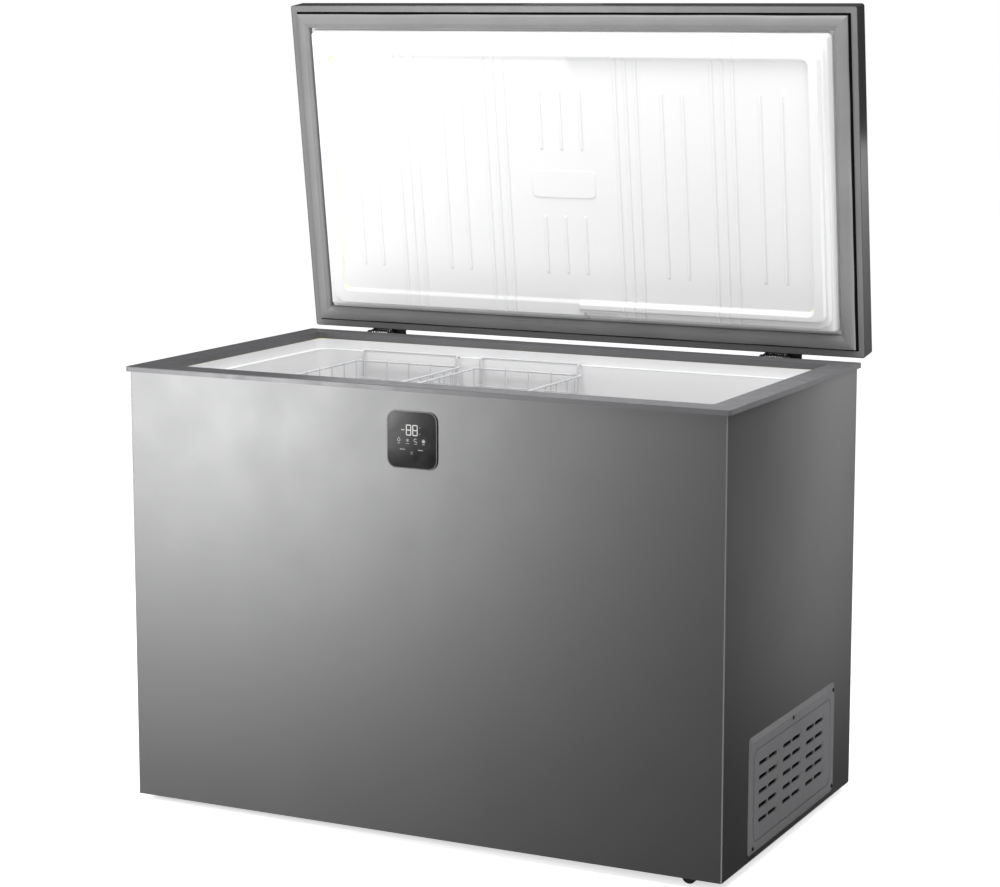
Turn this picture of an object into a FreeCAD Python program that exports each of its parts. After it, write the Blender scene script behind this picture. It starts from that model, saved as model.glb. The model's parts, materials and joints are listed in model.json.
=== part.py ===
import FreeCAD, Part
import math
import os

os.makedirs("parts", exist_ok=True)

# Chest freezer with its lid open. Millimetres, +Z up, +X to the right of a person facing the front.
# Shapes are drawn in the cabinet frame (y = 0 at the front panel, z = 0 at the panels' lower edge,
# lid closed), then save_cabinet and save_lid move them to the row frame, whose origin is on the floor.
V = FreeCAD.Vector
X_AXIS, Y_AXIS, Z_AXIS = V(1, 0, 0), V(0, 1, 0), V(0, 0, 1)

# Cabinet
BODY_W, BODY_D, BODY_H = 1130.0, 627.0, 768.0
FLOOR_GAP = 15.0            # floor to the panels' lower edge
SHEET = 1.0                 # painted sheet thickness
CORNER_R = 2.5              # bend radius of the wrapper's front corners
GAP = 0.2                   # clearance between neighbouring pieces

# Collar that tops the cabinet
COLLAR_W, COLLAR_H = 1144.0, 9.0
COLLAR_OVER = 5.0           # overhang past the front and back panels
COLLAR_BAND = 47.0
COLLAR_LIP, COLLAR_LIP_DROP = 3.0, 3.0
COLLAR_CORNER_R, COLLAR_EDGE_R, COLLAR_MOUTH_R, COLLAR_LIP_R = 5.0, 1.5, 8.0, 11.0
COLLAR_TOP = BODY_H + COLLAR_H

# Mouth trim, the ledge under it that carries the baskets, and the tank with its step over the compressor
LINER_T = 1.2
MOUTH_X, MOUTH_Y0, MOUTH_Y1 = 522.0, 45.0, 582.0
LEDGE_Z, LEDGE_IN = 747.0, 14.0
LINER_FLOOR, STEP_FLOOR, STEP_X = 62.0, 290.0, 258.0
LINER_R = 30.0
FRONT_STRIP = 3.0           # a corner nearer than this to the front panel counts as a front corner
SCREW_HOLE_R, BOLT_HOLE_R = 2.1, 4.1

# Compressor compartment at the right end
BAY_X, BAY_TOP = 310.0, 235.0
BASE_Z = 16.0               # underside of the base plate
BASE_T = 1.2

# Lid
LID_W, LID_D, LID_H = 1144.0, 632.0, 42.0
LID_GAP = 8.0               # gap over the collar that the gasket fills
LID_REAR = 632.5
LID_Z = COLLAR_TOP + LID_GAP
LID_FRONT = LID_REAR - LID_D
LID_R = 4.0
OPEN_DEG = 82.3

# Hinges
HINGE_Y, HINGE_Z, HINGE_X = 640.0, 773.0, 411.0
PIN_R = 3.0
PIN_FIT = 0.02              # clearance of a pin or axle in a piece that it is fixed in

# Castors
WHEEL_R, WHEEL_W = 12.5, 18.0
WHEEL_BORE = 2.55
AXLE_R = 2.5
CASTOR_X = 500.0
CASTOR_INSET_RIGHT, CASTOR_INSET_LEFT = 27.0, 54.0

# Baskets
BASKET_W, BASKET_DEEP, BASKET_T = 226.0, 205.0, 2.0
BASKET_TOP, BASKET_Y0, BASKET_Y1 = 732.0, 66.0, 561.0
HANGER_WIRE, HANGER_OUT, HANGER_IN = 4.0, 13.0, 9.0
BASKET_R, BASKET_INNER_R, HANGER_LAP = 8.0, 6.0, 12.0
BASKET_LEFT_X, BASKET_MIDDLE_X = -425.0, -170.0


def lid_turned(y, z, deg):
    """Where a point of the closed lid lands after the lid opens by deg."""
    a = math.radians(deg)
    dy, dz = y - HINGE_Y, z - HINGE_Z
    return HINGE_Y + dy * math.cos(a) + dz * math.sin(a), HINGE_Z - dy * math.sin(a) + dz * math.cos(a)


# The open lid's rearmost point, which with the collar's front edge sets the middle of the depth.
OPEN_REAR = lid_turned(LID_REAR - LID_R, LID_Z + LID_H - LID_R, OPEN_DEG)[0] + LID_R
MIDDLE_Y = (OPEN_REAR - COLLAR_OVER) / 2
TO_ROW = V(0, -MIDDLE_Y, FLOOR_GAP)


# ---------------------------------------------------------------- helpers
def box(x0, x1, y0, y1, z0, z1):
    return Part.makeBox(x1 - x0, y1 - y0, z1 - z0, V(x0, y0, z0))


def cyl(radius, start, axis, length):
    return Part.makeCylinder(radius, length, V(*start), axis)


def round_edges(shape):
    return [e for e in shape.Edges if e.Curve.TypeId == "Part::GeomCircle"]


def fillet_level(shape, radius, z):
    """Round every edge that lies at height z."""
    return shape.makeFillet(radius, [e for e in shape.Edges if abs(e.CenterOfMass.z - z) < 0.1])


def fillet_along(shape, radius, axis, keep=None):
    """Round the straight edges that run along axis, all of them or those that keep accepts."""
    picked = []
    for edge in shape.Edges:
        if edge.Curve.TypeId != "Part::GeomLine":
            continue
        direction = edge.tangentAt(edge.FirstParameter)
        if abs(abs(direction.dot(axis)) - 1) < 1e-6 and (keep is None or keep(edge.CenterOfMass)):
            picked.append(edge)
    return shape.makeFillet(radius, picked)


def prism(points, axis, start, length):
    """Extrude an outline. Points are (y, z) for the X axis and (x, z) for the Y axis."""
    if axis == X_AXIS:
        corners = [V(start, a, b) for a, b in points]
    else:
        corners = [V(a, start, b) for a, b in points]
    wire = Part.makePolygon(corners + [corners[0]])
    return Part.Face(wire).extrude(axis * length)


def rounded_path(points, radius):
    """Straight runs joined by tangent arcs."""
    pts = [V(*p) for p in points]
    edges = []
    start = pts[0]
    for before, corner, after in zip(pts, pts[1:], pts[2:]):
        into = (corner - before).normalize()
        out = (after - corner).normalize()
        turn = into.getAngle(out)
        cut = radius * math.tan(turn / 2)
        a = corner - into * cut
        b = corner + out * cut
        bisector = (out - into).normalize()
        middle = corner + bisector * (radius / math.cos(turn / 2) - radius)
        edges.append(Part.LineSegment(start, a).toShape())
        edges.append(Part.Arc(a, middle, b).toShape())
        start = b
    edges.append(Part.LineSegment(start, pts[-1]).toShape())
    return Part.Wire(edges)


def tube(points, bend, radius):
    """A solid round bar along a route with rounded corners."""
    path = rounded_path(points, bend)
    direction = (V(*points[1]) - V(*points[0])).normalize()
    section = Part.Wire([Part.makeCircle(radius, V(*points[0]), direction)])
    return path.makePipeShell([section], True, False)


def rounded_rectangle(x, y0, y1, z, radius):
    """A level outline, symmetric in x, with rounded corners."""
    edges = []
    for side, y, turn in ((1, y0, -90), (1, y1, 0), (-1, y1, 90), (-1, y0, 180)):
        centre = V(side * (x - radius), y + radius * (1 if y == y0 else -1), z)
        edges.append(Part.makeCircle(radius, centre, Z_AXIS, turn, turn + 90))
    corners = list(edges)
    for before, after in zip(corners, corners[1:] + corners[:1]):
        start = before.valueAt(before.LastParameter)
        edges.append(Part.makeLine(start, after.valueAt(after.FirstParameter)))
    return Part.Wire(Part.__sortEdges__(edges))


def tapered(x_half, y0, y1, z_base, z_tip, slope, radius):
    """A block with rounded corners whose sides lean in by slope from z_base to z_tip."""
    base = rounded_rectangle(x_half, y0, y1, z_base, radius)
    tip = rounded_rectangle(x_half - slope, y0 + slope, y1 - slope, z_tip, radius)
    return Part.makeLoft([base, tip], True, True)


SCREW_L, SCREW_R, HEAD_R, HEAD_H, HEAD_ROUND = 10.0, 2.0, 4.0, 2.2, 0.6


def screw(x, y, z, axis, head_r=HEAD_R, head_h=HEAD_H, length=SCREW_L):
    """A pan-head screw whose head sits on the point and whose shank runs against axis."""
    head = Part.makeCylinder(head_r, head_h, V(x, y, z), axis)
    rim = [e for e in round_edges(head) if (e.CenterOfMass - V(x, y, z)).Length > head_h / 2]
    head = head.makeFillet(head_h * HEAD_ROUND, rim)
    shank = Part.makeCylinder(SCREW_R, length, V(x, y, z), axis * -1)
    return head.fuse(shank).removeSplitter()


def save(name, shape):
    shape.exportStep("parts/" + name + ".step")


def save_cabinet(name, shape):
    moved = shape.copy()
    moved.translate(TO_ROW)
    save(name, moved)


def save_lid(name, shape):
    moved = shape.copy()
    moved.rotate(V(0, HINGE_Y, HINGE_Z), V(-1, 0, 0), OPEN_DEG)
    moved.translate(TO_ROW)
    save(name, moved)


# ---------------------------------------------------------------- cabinet shell
GRILLE_Y0, GRILLE_Y1, GRILLE_Z0, GRILLE_Z1 = 112.0, 530.0, 11.0, 213.0
GRILLE_SEAT = 16.5          # how far the grille laps over the opening behind it
BACK_SLOT_ROWS, BACK_SLOT_COLUMNS = 4, 3
BACK_SLOT_L, BACK_SLOT_H, BACK_SLOT_ROW, BACK_SLOT_COLUMN = 46.0, 6.0, 24.0, 66.0
BACK_SLOT_IN, BACK_SLOT_Z = 40.0, 136.0
FLOOR_SLOTS, FLOOR_SLOT_W, FLOOR_SLOT_PITCH = 6, 8.0, 26.0
FLOOR_SLOT_X, FLOOR_SLOT_Y0, FLOOR_SLOT_Y1 = BAY_X + 60.0, 90.0, 190.0
PANEL_WINDOW = 7.0          # how far the control panel laps over the opening behind it
PANEL_W, PANEL_H, PANEL_Z, PANEL_R = 95.0, 98.0, 687.0, 17.0


def side_to_side(y0, y1, z0, z1):
    """A block across the whole width inside the side panels."""
    return box(-BODY_W / 2 + SHEET + GAP, BODY_W / 2 - SHEET - GAP, y0, y1, z0, z1)


def cabinet_wrapper():
    """Front and both sides, bent from one sheet, open at the back."""
    half = BODY_W / 2
    outer = box(-half, half, 0, BODY_D, 0, BODY_H)
    outer = fillet_along(outer, CORNER_R, Z_AXIS, lambda c: c.y < FRONT_STRIP)
    inner = box(-half + SHEET, half - SHEET, SHEET, BODY_D + SHEET, -SHEET, BODY_H + SHEET)
    inner = fillet_along(inner, CORNER_R - SHEET, Z_AXIS, lambda c: c.y < FRONT_STRIP)
    shell = outer.cut(inner)
    wide, high = PANEL_W / 2 - PANEL_WINDOW, PANEL_H / 2 - PANEL_WINDOW
    window = box(-wide, wide, -SHEET, 2 * SHEET, PANEL_Z - high, PANEL_Z + high)
    vent = box(half - 2 * SHEET, half + SHEET, GRILLE_Y0 + GRILLE_SEAT, GRILLE_Y1 - GRILLE_SEAT,
               GRILLE_Z0 + GRILLE_SEAT, GRILLE_Z1 - GRILLE_SEAT)
    return shell.cut(window).cut(vent).cut(Part.makeCompound(grille_screw_holes()))


def back_panel():
    plate = side_to_side(BODY_D - SHEET, BODY_D, 0, BODY_H)
    slots = []
    for row in range(BACK_SLOT_ROWS):
        for column in range(BACK_SLOT_COLUMNS):
            x = BAY_X + BACK_SLOT_IN + column * BACK_SLOT_COLUMN
            z = BACK_SLOT_Z + row * BACK_SLOT_ROW
            slots.append(box(x, x + BACK_SLOT_L, BODY_D - 2 * SHEET, BODY_D + SHEET, z, z + BACK_SLOT_H))
    gland = cyl(GLAND_R + GAP, (GLAND_X, BODY_D - GLAND_IN, GLAND_Z), Y_AXIS, 2 * GLAND_IN)
    return plate.cut(Part.makeCompound(slots)).cut(gland).cut(Part.makeCompound(hinge_screw_shanks()))


def base_plate():
    inset = SHEET + GAP
    plate = side_to_side(inset, BODY_D - inset, BASE_Z, BASE_Z + BASE_T)
    plate = fillet_along(plate, CORNER_R - SHEET, Z_AXIS, lambda c: c.y < FRONT_STRIP)
    starts = [FLOOR_SLOT_X + FLOOR_SLOT_PITCH * i for i in range(FLOOR_SLOTS)]
    vents = [box(x, x + FLOOR_SLOT_W, FLOOR_SLOT_Y0, FLOOR_SLOT_Y1, 0, 2 * BASE_Z) for x in starts]
    drain = cyl(DRAIN_R + GAP, (DRAIN_X, DRAIN_Y, 0), Z_AXIS, 2 * BASE_Z)
    shanks = [cyl(SCREW_HOLE_R, (x, y, 0), Z_AXIS, 2 * BASE_Z) for x, y in castor_screw_places()]
    feet = [cyl(BOLT_HOLE_R, (x, y, 0), Z_AXIS, 2 * BASE_Z) for x, y in compressor_bolt_places()]
    return plate.cut(Part.makeCompound(vents + [drain] + shanks + feet))


def top_collar():
    """The rim with its wide flat top, a rolled outer edge and a short lip inside the mouth."""
    half = COLLAR_W / 2
    y0, y1 = -COLLAR_OVER, BODY_D + COLLAR_OVER
    outer = box(-half, half, y0, y1, BODY_H, COLLAR_TOP)
    outer = fillet_along(outer, COLLAR_CORNER_R, Z_AXIS)
    outer = fillet_level(outer, COLLAR_EDGE_R, COLLAR_TOP)
    mouth = box(-half + COLLAR_BAND, half - COLLAR_BAND, y0 + COLLAR_BAND, y1 - COLLAR_BAND,
                0, 2 * COLLAR_TOP)
    mouth = fillet_along(mouth, COLLAR_MOUTH_R, Z_AXIS)
    lip_out = COLLAR_BAND - COLLAR_LIP
    lip_low = BODY_H - COLLAR_LIP_DROP
    lip = box(-half + lip_out, half - lip_out, y0 + lip_out, y1 - lip_out, lip_low, COLLAR_TOP - 1)
    lip = fillet_along(lip, COLLAR_LIP_R, Z_AXIS)
    return outer.fuse(lip).cut(mouth).removeSplitter()


def mouth_volume(grow, top):
    """The space inside the mouth trim, above its ledge."""
    upper = box(-MOUTH_X - grow, MOUTH_X + grow, MOUTH_Y0 - grow, MOUTH_Y1 + grow, LEDGE_Z - grow, top)
    return fillet_along(upper, LINER_R + grow, Z_AXIS)


def tank_volume(grow, top):
    """The space inside the tank, deep on the left and shallow over the compressor."""
    x, y0, y1 = MOUTH_X - LEDGE_IN, MOUTH_Y0 + LEDGE_IN, MOUTH_Y1 - LEDGE_IN
    deep = box(-x - grow, STEP_X + grow, y0 - grow, y1 + grow, LINER_FLOOR - grow, top)
    shallow = box(-x - grow, x + grow, y0 - grow, y1 + grow, STEP_FLOOR - grow, top)
    tank = deep.fuse(shallow).removeSplitter()
    return fillet_along(tank, LINER_R + grow, Z_AXIS, lambda c: abs(c.x) > x - 1)


def liner_volume(grow):
    """Everything inside the trim and the tank, grown outwards and downwards by grow."""
    return mouth_volume(grow, BODY_H - COLLAR_LIP_DROP - GAP).fuse(tank_volume(grow, LEDGE_Z))


def mouth_trim():
    """The upright white moulding between the collar and the ledge."""
    ring = mouth_volume(LINER_T, BODY_H - COLLAR_LIP_DROP - GAP).cut(mouth_volume(0, BODY_H))
    return ring.cut(box(-BODY_W, BODY_W, 0, BODY_D, 0, LEDGE_Z))


def basket_ledge():
    """The flat white ring between the trim and the tank, which the baskets hang on."""
    return mouth_volume(LINER_T, LEDGE_Z).cut(tank_volume(0, BODY_H))


def inner_liner():
    """The tank: walls, floor, and the step over the compressor."""
    top = LEDGE_Z - LINER_T - GAP
    shell = tank_volume(LINER_T, top).cut(tank_volume(0, BODY_H))
    drain = cyl(DRAIN_R, (DRAIN_X, DRAIN_Y, LINER_FLOOR - DRAIN_R), Z_AXIS, 2 * DRAIN_R)
    return shell.cut(drain)


def bay_shield():
    """The folded sheet that walls the compressor compartment off from the foam."""
    y0, y1 = SHEET + GAP, BODY_D - SHEET - GAP
    right = BODY_W / 2 - SHEET - GAP
    z0 = BASE_Z + BASE_T + GAP
    wall = box(BAY_X - SHEET, BAY_X, y0, y1, z0, BAY_TOP)
    roof = box(BAY_X - SHEET, right, y0, y1, BAY_TOP, BAY_TOP + SHEET)
    roof = fillet_along(roof, CORNER_R - SHEET, Z_AXIS, lambda c: c.x > BAY_X and c.y < BODY_D / 2)
    return wall.fuse(roof).removeSplitter()


def cabinet_foam(buried):
    """Rigid foam that fills every space between the outer sheets and the liner."""
    inset = SHEET + GAP
    block = side_to_side(inset, BODY_D - inset, BASE_Z + BASE_T + GAP, BODY_H - COLLAR_LIP_DROP - 2 * GAP)
    block = fillet_along(block, CORNER_R - SHEET, Z_AXIS, lambda c: c.y < FRONT_STRIP)
    bay = box(BAY_X - SHEET - GAP, BODY_W, 0, BODY_D, 0, BAY_TOP + SHEET + GAP)
    return block.cut(liner_volume(LINER_T + GAP)).cut(bay).cut(Part.makeCompound(buried))


# ---------------------------------------------------------------- control panel on the front
BEZEL_PROUD, BEZEL_W, GLASS_PROUD = 2.4, 1.6, 2.0
HOUSING_HALF_W, HOUSING_HALF_H, HOUSING_BACK, HOUSING_T = 40.0, 41.0, 30.0, 2.0
BOARD_HALF_W, BOARD_HALF_H, BOARD_Y, BOARD_T = 36.0, 37.0, 12.0, 1.6
DIGITS_HALF_W, DIGITS_Y, DIGITS_LOW, DIGITS_HIGH = 14.0, 4.0, 6.0, 28.0
CHIP_HALF_W, CHIP_T, CHIP_LOW, CHIP_HIGH = 8.0, 2.5, -30.0, -14.0
POST_R, POST_X, POST_Z = 3.0, 30.0, 31.0


def rounded_plate(width, height, radius, y0, y1, grow=0.0):
    w, h = width / 2 + grow, height / 2 + grow
    plate = box(-w, w, y0, y1, PANEL_Z - h, PANEL_Z + h)
    return fillet_along(plate, radius + grow, Y_AXIS)


def panel_box(half_w, half_h, y0, y1):
    """A block behind the control panel, centred on it."""
    return box(-half_w, half_w, y0, y1, PANEL_Z - half_h, PANEL_Z + half_h)


def control_bezel():
    ring = rounded_plate(PANEL_W, PANEL_H, PANEL_R, -BEZEL_PROUD, -GAP)
    return ring.cut(rounded_plate(PANEL_W, PANEL_H, PANEL_R, -2 * BEZEL_PROUD, BEZEL_PROUD, -BEZEL_W))


def control_glass():
    return rounded_plate(PANEL_W, PANEL_H, PANEL_R, -GLASS_PROUD, -GAP, -BEZEL_W - GAP)


def control_housing():
    """A shallow box let into the foam behind the glass."""
    outer = panel_box(HOUSING_HALF_W, HOUSING_HALF_H, SHEET + GAP, HOUSING_BACK)
    inner = panel_box(HOUSING_HALF_W - HOUSING_T, HOUSING_HALF_H - HOUSING_T, 0, HOUSING_BACK - HOUSING_T)
    return outer.cut(inner)


def control_board():
    rear = BOARD_Y + BOARD_T
    board = panel_box(BOARD_HALF_W, BOARD_HALF_H, BOARD_Y, rear)
    digits = box(-DIGITS_HALF_W, DIGITS_HALF_W, DIGITS_Y, BOARD_Y, PANEL_Z + DIGITS_LOW, PANEL_Z + DIGITS_HIGH)
    chip = box(-CHIP_HALF_W, CHIP_HALF_W, BOARD_Y - CHIP_T, BOARD_Y, PANEL_Z + CHIP_LOW, PANEL_Z + CHIP_HIGH)
    reach = HOUSING_BACK - HOUSING_T - GAP - rear
    posts = [cyl(POST_R, (x, rear, PANEL_Z + z), Y_AXIS, reach) for x in (-POST_X, POST_X)
             for z in (-POST_Z, POST_Z)]
    return board.multiFuse([digits, chip] + posts)


# ---------------------------------------------------------------- ventilation grille, right side
GRILLE_PROUD, GRILLE_T, GRILLE_R = 6.3, 2.2, 8.0
GRILLE_FRAME = GRILLE_PROUD - 1.0    # height of the frame, under the raised field
GRILLE_RIM, GRILLE_BEVEL = 1.2, 8.0
GRILLE_SCREWS = [(311.0, 201.0), (515.0, 201.0), (515.0, 24.0), (124.0, 23.0)]
GRILLE_BOSS_R, GRILLE_HEAD_R, GRILLE_HEAD_H = 4.2, 3.6, 1.4
FIELD_Y0, FIELD_Y1, FIELD_Z0, FIELD_Z1 = 126.0, 500.0, 34.0, 188.0
FIELD_CORNER_R, FIELD_EDGE, FIELD_LAP = 15.0, 1.2, 0.5
CHANNEL_W, CHANNEL_DEEP = 2.6, 0.8
SLOT_COLUMNS, SLOT_HALVES, SLOT_ROWS = 3, 2, 5
SLOT_L, SLOT_H, SLOT_GAP, SLOT_R = 40.0, 7.4, 4.0, 3.6
SLOT_Y, SLOT_Z, SLOT_COLUMN, SLOT_ROW = 146.0, 61.0, 114.0, 24.5
TICK_W, TICK_H, TICK_DEEP, TICK_OFF = 1.8, 10.0, 0.8, 3.5
CYCLE = V(1, 1, 1)          # turning by 120 degrees about it takes x to y, y to z and z to x


def grille_screw_holes():
    return [cyl(SCREW_HOLE_R, (BODY_W / 2 - SCREW_L, y, z), X_AXIS, 2 * SCREW_L) for y, z in GRILLE_SCREWS]


def side_block(grow, y0, y1, z0, z1, low, high, slope, radius):
    """A block on the right side panel, low to high over it, grown by grow, whose sides lean in by slope."""
    block = tapered((y1 - y0) / 2 + grow, z0 - grow, z1 + grow, low, high, slope, radius)
    block.rotate(V(0, 0, 0), CYCLE, 120)
    block.translate(V(BODY_W / 2 + GAP, (y0 + y1) / 2, 0))
    return block


def grille_slots():
    """Three columns of paired slots, and the short upright mark pressed beside each pair."""
    low, out = BODY_W / 2 - SHEET, BODY_W / 2 + GAP + GRILLE_PROUD
    cuts = []
    for column in range(SLOT_COLUMNS):
        for row in range(SLOT_ROWS):
            start, z = SLOT_Y + column * SLOT_COLUMN, SLOT_Z + row * SLOT_ROW
            for half in range(SLOT_HALVES):
                y = start + half * (SLOT_L + SLOT_GAP)
                slot = box(low, out + SHEET, y, y + SLOT_L, z, z + SLOT_H)
                cuts.append(fillet_along(slot, SLOT_R, X_AXIS))
            tick = start + SLOT_HALVES * SLOT_L + SLOT_GAP + TICK_OFF
            cuts.append(box(out - TICK_DEEP, out + SHEET, tick, tick + TICK_W, z + 1, z + 1 + TICK_H))
    return cuts


def vent_grille():
    """A pan with a bevelled frame, and a raised field with the slots inside a shallow channel."""
    rim = (GRILLE_Y0, GRILLE_Y1, GRILLE_Z0, GRILLE_Z1)
    patch = (FIELD_Y0, FIELD_Y1, FIELD_Z0, FIELD_Z1)
    foot = side_block(0, *rim, 0, GRILLE_RIM, 0, GRILLE_R)
    frame = side_block(0, *rim, GRILLE_RIM, GRILLE_FRAME, GRILLE_BEVEL, GRILLE_R)
    hollow = side_block(-GRILLE_T, *rim, -SHEET, GRILLE_FRAME - GRILLE_T, GRILLE_BEVEL, GRILLE_R)
    field = side_block(0, *patch, GRILLE_FRAME - FIELD_LAP, GRILLE_PROUD, FIELD_EDGE, FIELD_CORNER_R)
    channel = side_block(CHANNEL_W, *patch, GRILLE_FRAME - CHANNEL_DEEP, GRILLE_PROUD, 0, FIELD_CORNER_R)
    core = side_block(0, *patch, 0, GRILLE_PROUD, 0, FIELD_CORNER_R)
    face = BODY_W / 2 + GAP
    bosses = [cyl(GRILLE_BOSS_R, (face, y, z), X_AXIS, GRILLE_FRAME - GAP) for y, z in GRILLE_SCREWS]
    pan = foot.fuse(frame).cut(hollow).cut(channel.cut(core)).multiFuse([field] + bosses)
    return pan.cut(Part.makeCompound(grille_slots() + grille_screw_holes())).removeSplitter()


def grille_screws():
    face = BODY_W / 2 + GAP + GRILLE_FRAME
    return Part.makeCompound([screw(face, y, z, X_AXIS, GRILLE_HEAD_R, GRILLE_HEAD_H)
                              for y, z in GRILLE_SCREWS])


# ---------------------------------------------------------------- refrigeration
COMP_X, COMP_Y, COMP_R, COMP_H = 435.0, 400.0, 72.0, 160.0
COMP_Z = BASE_Z + BASE_T + 12.0
FOOT_X, FOOT_Y = 70.0, 82.0
CAN_UP, CAN_R, SEAM_UP, SEAM_PROUD, SEAM_T = 4.0, 38.0, 92.0, 4.0, 5.0
STUB_R, STUB_L, STUB_IN = 4.0, 26.0, 8.0
PIPE_DX, PIPE_UP, FILL_UP = 24.0, 70.0, 56.0
FOOT_LAP, FOOT_T, FOOT_R, FOOT_HOLE_R = 14.0, 3.0, 12.0, 6.2
GROMMET_R, GROMMET_NECK_R, GROMMET_TOP_R, GROMMET_TOP_T = 10.0, 6.0, 9.0, 4.0
BOLT_R, BOLT_HEAD_R, BOLT_HEAD_T, BOLT_END, NUT_R, NUT_T = 4.0, 8.0, 4.0, 11.0, 7.0, 3.0


def compressor_bolt_places():
    return [(COMP_X + sx * FOOT_X, COMP_Y + sy * FOOT_Y) for sx in (-1, 1) for sy in (-1, 1)]


def compressor():
    """The welded steel can with its seam and its three pipe stubs."""
    can = cyl(COMP_R, (COMP_X, COMP_Y, COMP_Z + CAN_UP), Z_AXIS, COMP_H)
    can = can.makeFillet(CAN_R, round_edges(can))
    seam = cyl(COMP_R + SEAM_PROUD, (COMP_X, COMP_Y, COMP_Z + SEAM_UP), Z_AXIS, SEAM_T)
    stubs = [cyl(STUB_R, (COMP_X + x, COMP_Y - COMP_R + STUB_IN, COMP_Z + z), Y_AXIS * -1, STUB_L)
             for x, z in ((-PIPE_DX, PIPE_UP), (0, FILL_UP), (PIPE_DX, PIPE_UP))]
    return can.multiFuse([seam] + stubs)


def compressor_feet():
    """The cross-shaped steel plate under the can."""
    half_x, half_y = FOOT_X + FOOT_LAP, FOOT_Y + FOOT_LAP
    plate = box(COMP_X - half_x, COMP_X + half_x, COMP_Y - half_y, COMP_Y + half_y, COMP_Z, COMP_Z + FOOT_T)
    plate = fillet_along(plate, FOOT_R, Z_AXIS)
    holes = [cyl(FOOT_HOLE_R, (x, y, 0), Z_AXIS, 2 * COMP_Z) for x, y in compressor_bolt_places()]
    return plate.cut(Part.makeCompound(holes))


def compressor_grommets():
    """Rubber bushes that hold the feet off the base plate."""
    group = []
    for x, y in compressor_bolt_places():
        z0 = BASE_Z + BASE_T
        below = cyl(GROMMET_R, (x, y, z0), Z_AXIS, COMP_Z - z0 - GAP)
        neck = cyl(GROMMET_NECK_R, (x, y, z0), Z_AXIS, COMP_Z - z0 + FOOT_T + GROMMET_TOP_T / 2)
        above = cyl(GROMMET_TOP_R, (x, y, COMP_Z + FOOT_T + GAP), Z_AXIS, GROMMET_TOP_T)
        hole = cyl(BOLT_HOLE_R, (x, y, 0), Z_AXIS, 2 * COMP_Z)
        group.append(below.multiFuse([neck, above]).cut(hole))
    return Part.makeCompound(group)


def compressor_bolts():
    group = []
    for x, y in compressor_bolt_places():
        nut_z = COMP_Z + FOOT_T + GROMMET_TOP_T + 3 * GAP
        low = BASE_Z - BOLT_HEAD_T
        shank = cyl(BOLT_R, (x, y, low + SHEET), Z_AXIS, COMP_Z + BOLT_END - low - SHEET)
        head = cyl(BOLT_HEAD_R, (x, y, low), Z_AXIS, BOLT_HEAD_T - GAP)
        nut = cyl(NUT_R, (x, y, nut_z), Z_AXIS, NUT_T)
        group.append(shank.multiFuse([head, nut]))
    return Part.makeCompound(group)


RELAY_LEFT, RELAY_RIGHT, RELAY_IN, RELAY_OUT = 34.0, 30.0, 6.0, 32.0
RELAY_LOW, RELAY_HIGH, RELAY_R = 24.0, 86.0, 6.0


def start_relay():
    """The relay and overload cover clipped on the can's side."""
    side = COMP_Y + COMP_R
    cover = box(COMP_X - RELAY_LEFT, COMP_X + RELAY_RIGHT, side - RELAY_IN, side + RELAY_OUT,
                COMP_Z + RELAY_LOW, COMP_Z + RELAY_HIGH)
    cover = fillet_along(cover, RELAY_R, Z_AXIS)
    return cover.cut(cyl(COMP_R + GAP, (COMP_X, COMP_Y, COMP_Z), Z_AXIS, COMP_H))


DRIER_X, DRIER_Y, DRIER_Z = 345.0, 150.0, 120.0
DRIER_R, DRIER_L, DRIER_END_R, DRIER_CONE = 9.5, 70.0, 3.0, 12.0


def filter_drier():
    """The copper cylinder with its coned ends, upright in the compartment."""
    body = cyl(DRIER_R, (DRIER_X, DRIER_Y, DRIER_Z), Z_AXIS, DRIER_L)
    low = Part.makeCone(DRIER_END_R, DRIER_R, DRIER_CONE, V(DRIER_X, DRIER_Y, DRIER_Z - DRIER_CONE))
    high = Part.makeCone(DRIER_R, DRIER_END_R, DRIER_CONE, V(DRIER_X, DRIER_Y, DRIER_Z + DRIER_L))
    return body.multiFuse([low, high]).removeSplitter()


STUB_Y = COMP_Y - COMP_R + STUB_IN - STUB_L
PIPE_BEND = 14.0
DISCHARGE_R, DISCHARGE_OUT, DISCHARGE_RISE, DISCHARGE_END = 3.0, 60.0, 80.0, 60.0
SUCTION_R, SUCTION_OUT, SUCTION_RISE, SUCTION_END = 4.0, 40.0, 112.0, 560.0
FILL_R, FILL_L, PINCH_HALF_W, PINCH_HALF_T, PINCH_L, PINCH_LAP = 3.0, 50.0, 4.0, 1.0, 14.0, 2.0


def riser(x, out, rise, end, radius):
    """A pipe from a stub: out to the front, up, and along the compartment to its end."""
    z = COMP_Z + PIPE_UP
    y = STUB_Y - out
    route = [(x, STUB_Y - GAP, z), (x, y, z), (x, y, z + rise), (x, end, z + rise)]
    return tube(route, PIPE_BEND, radius)


def discharge_pipe():
    return riser(COMP_X - PIPE_DX, DISCHARGE_OUT, DISCHARGE_RISE, DISCHARGE_END, DISCHARGE_R)


def suction_pipe():
    return riser(COMP_X + PIPE_DX, SUCTION_OUT, SUCTION_RISE, SUCTION_END, SUCTION_R)


def process_tube():
    """The short sealed filling stub between the two pipes."""
    z = COMP_Z + FILL_UP
    stem = cyl(FILL_R, (COMP_X, STUB_Y - GAP, z), Y_AXIS * -1, FILL_L)
    near = STUB_Y - FILL_L + PINCH_LAP
    pinch = box(COMP_X - PINCH_HALF_W, COMP_X + PINCH_HALF_W, near - PINCH_L, near,
                z - PINCH_HALF_T, z + PINCH_HALF_T)
    return stem.fuse(pinch)


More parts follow.
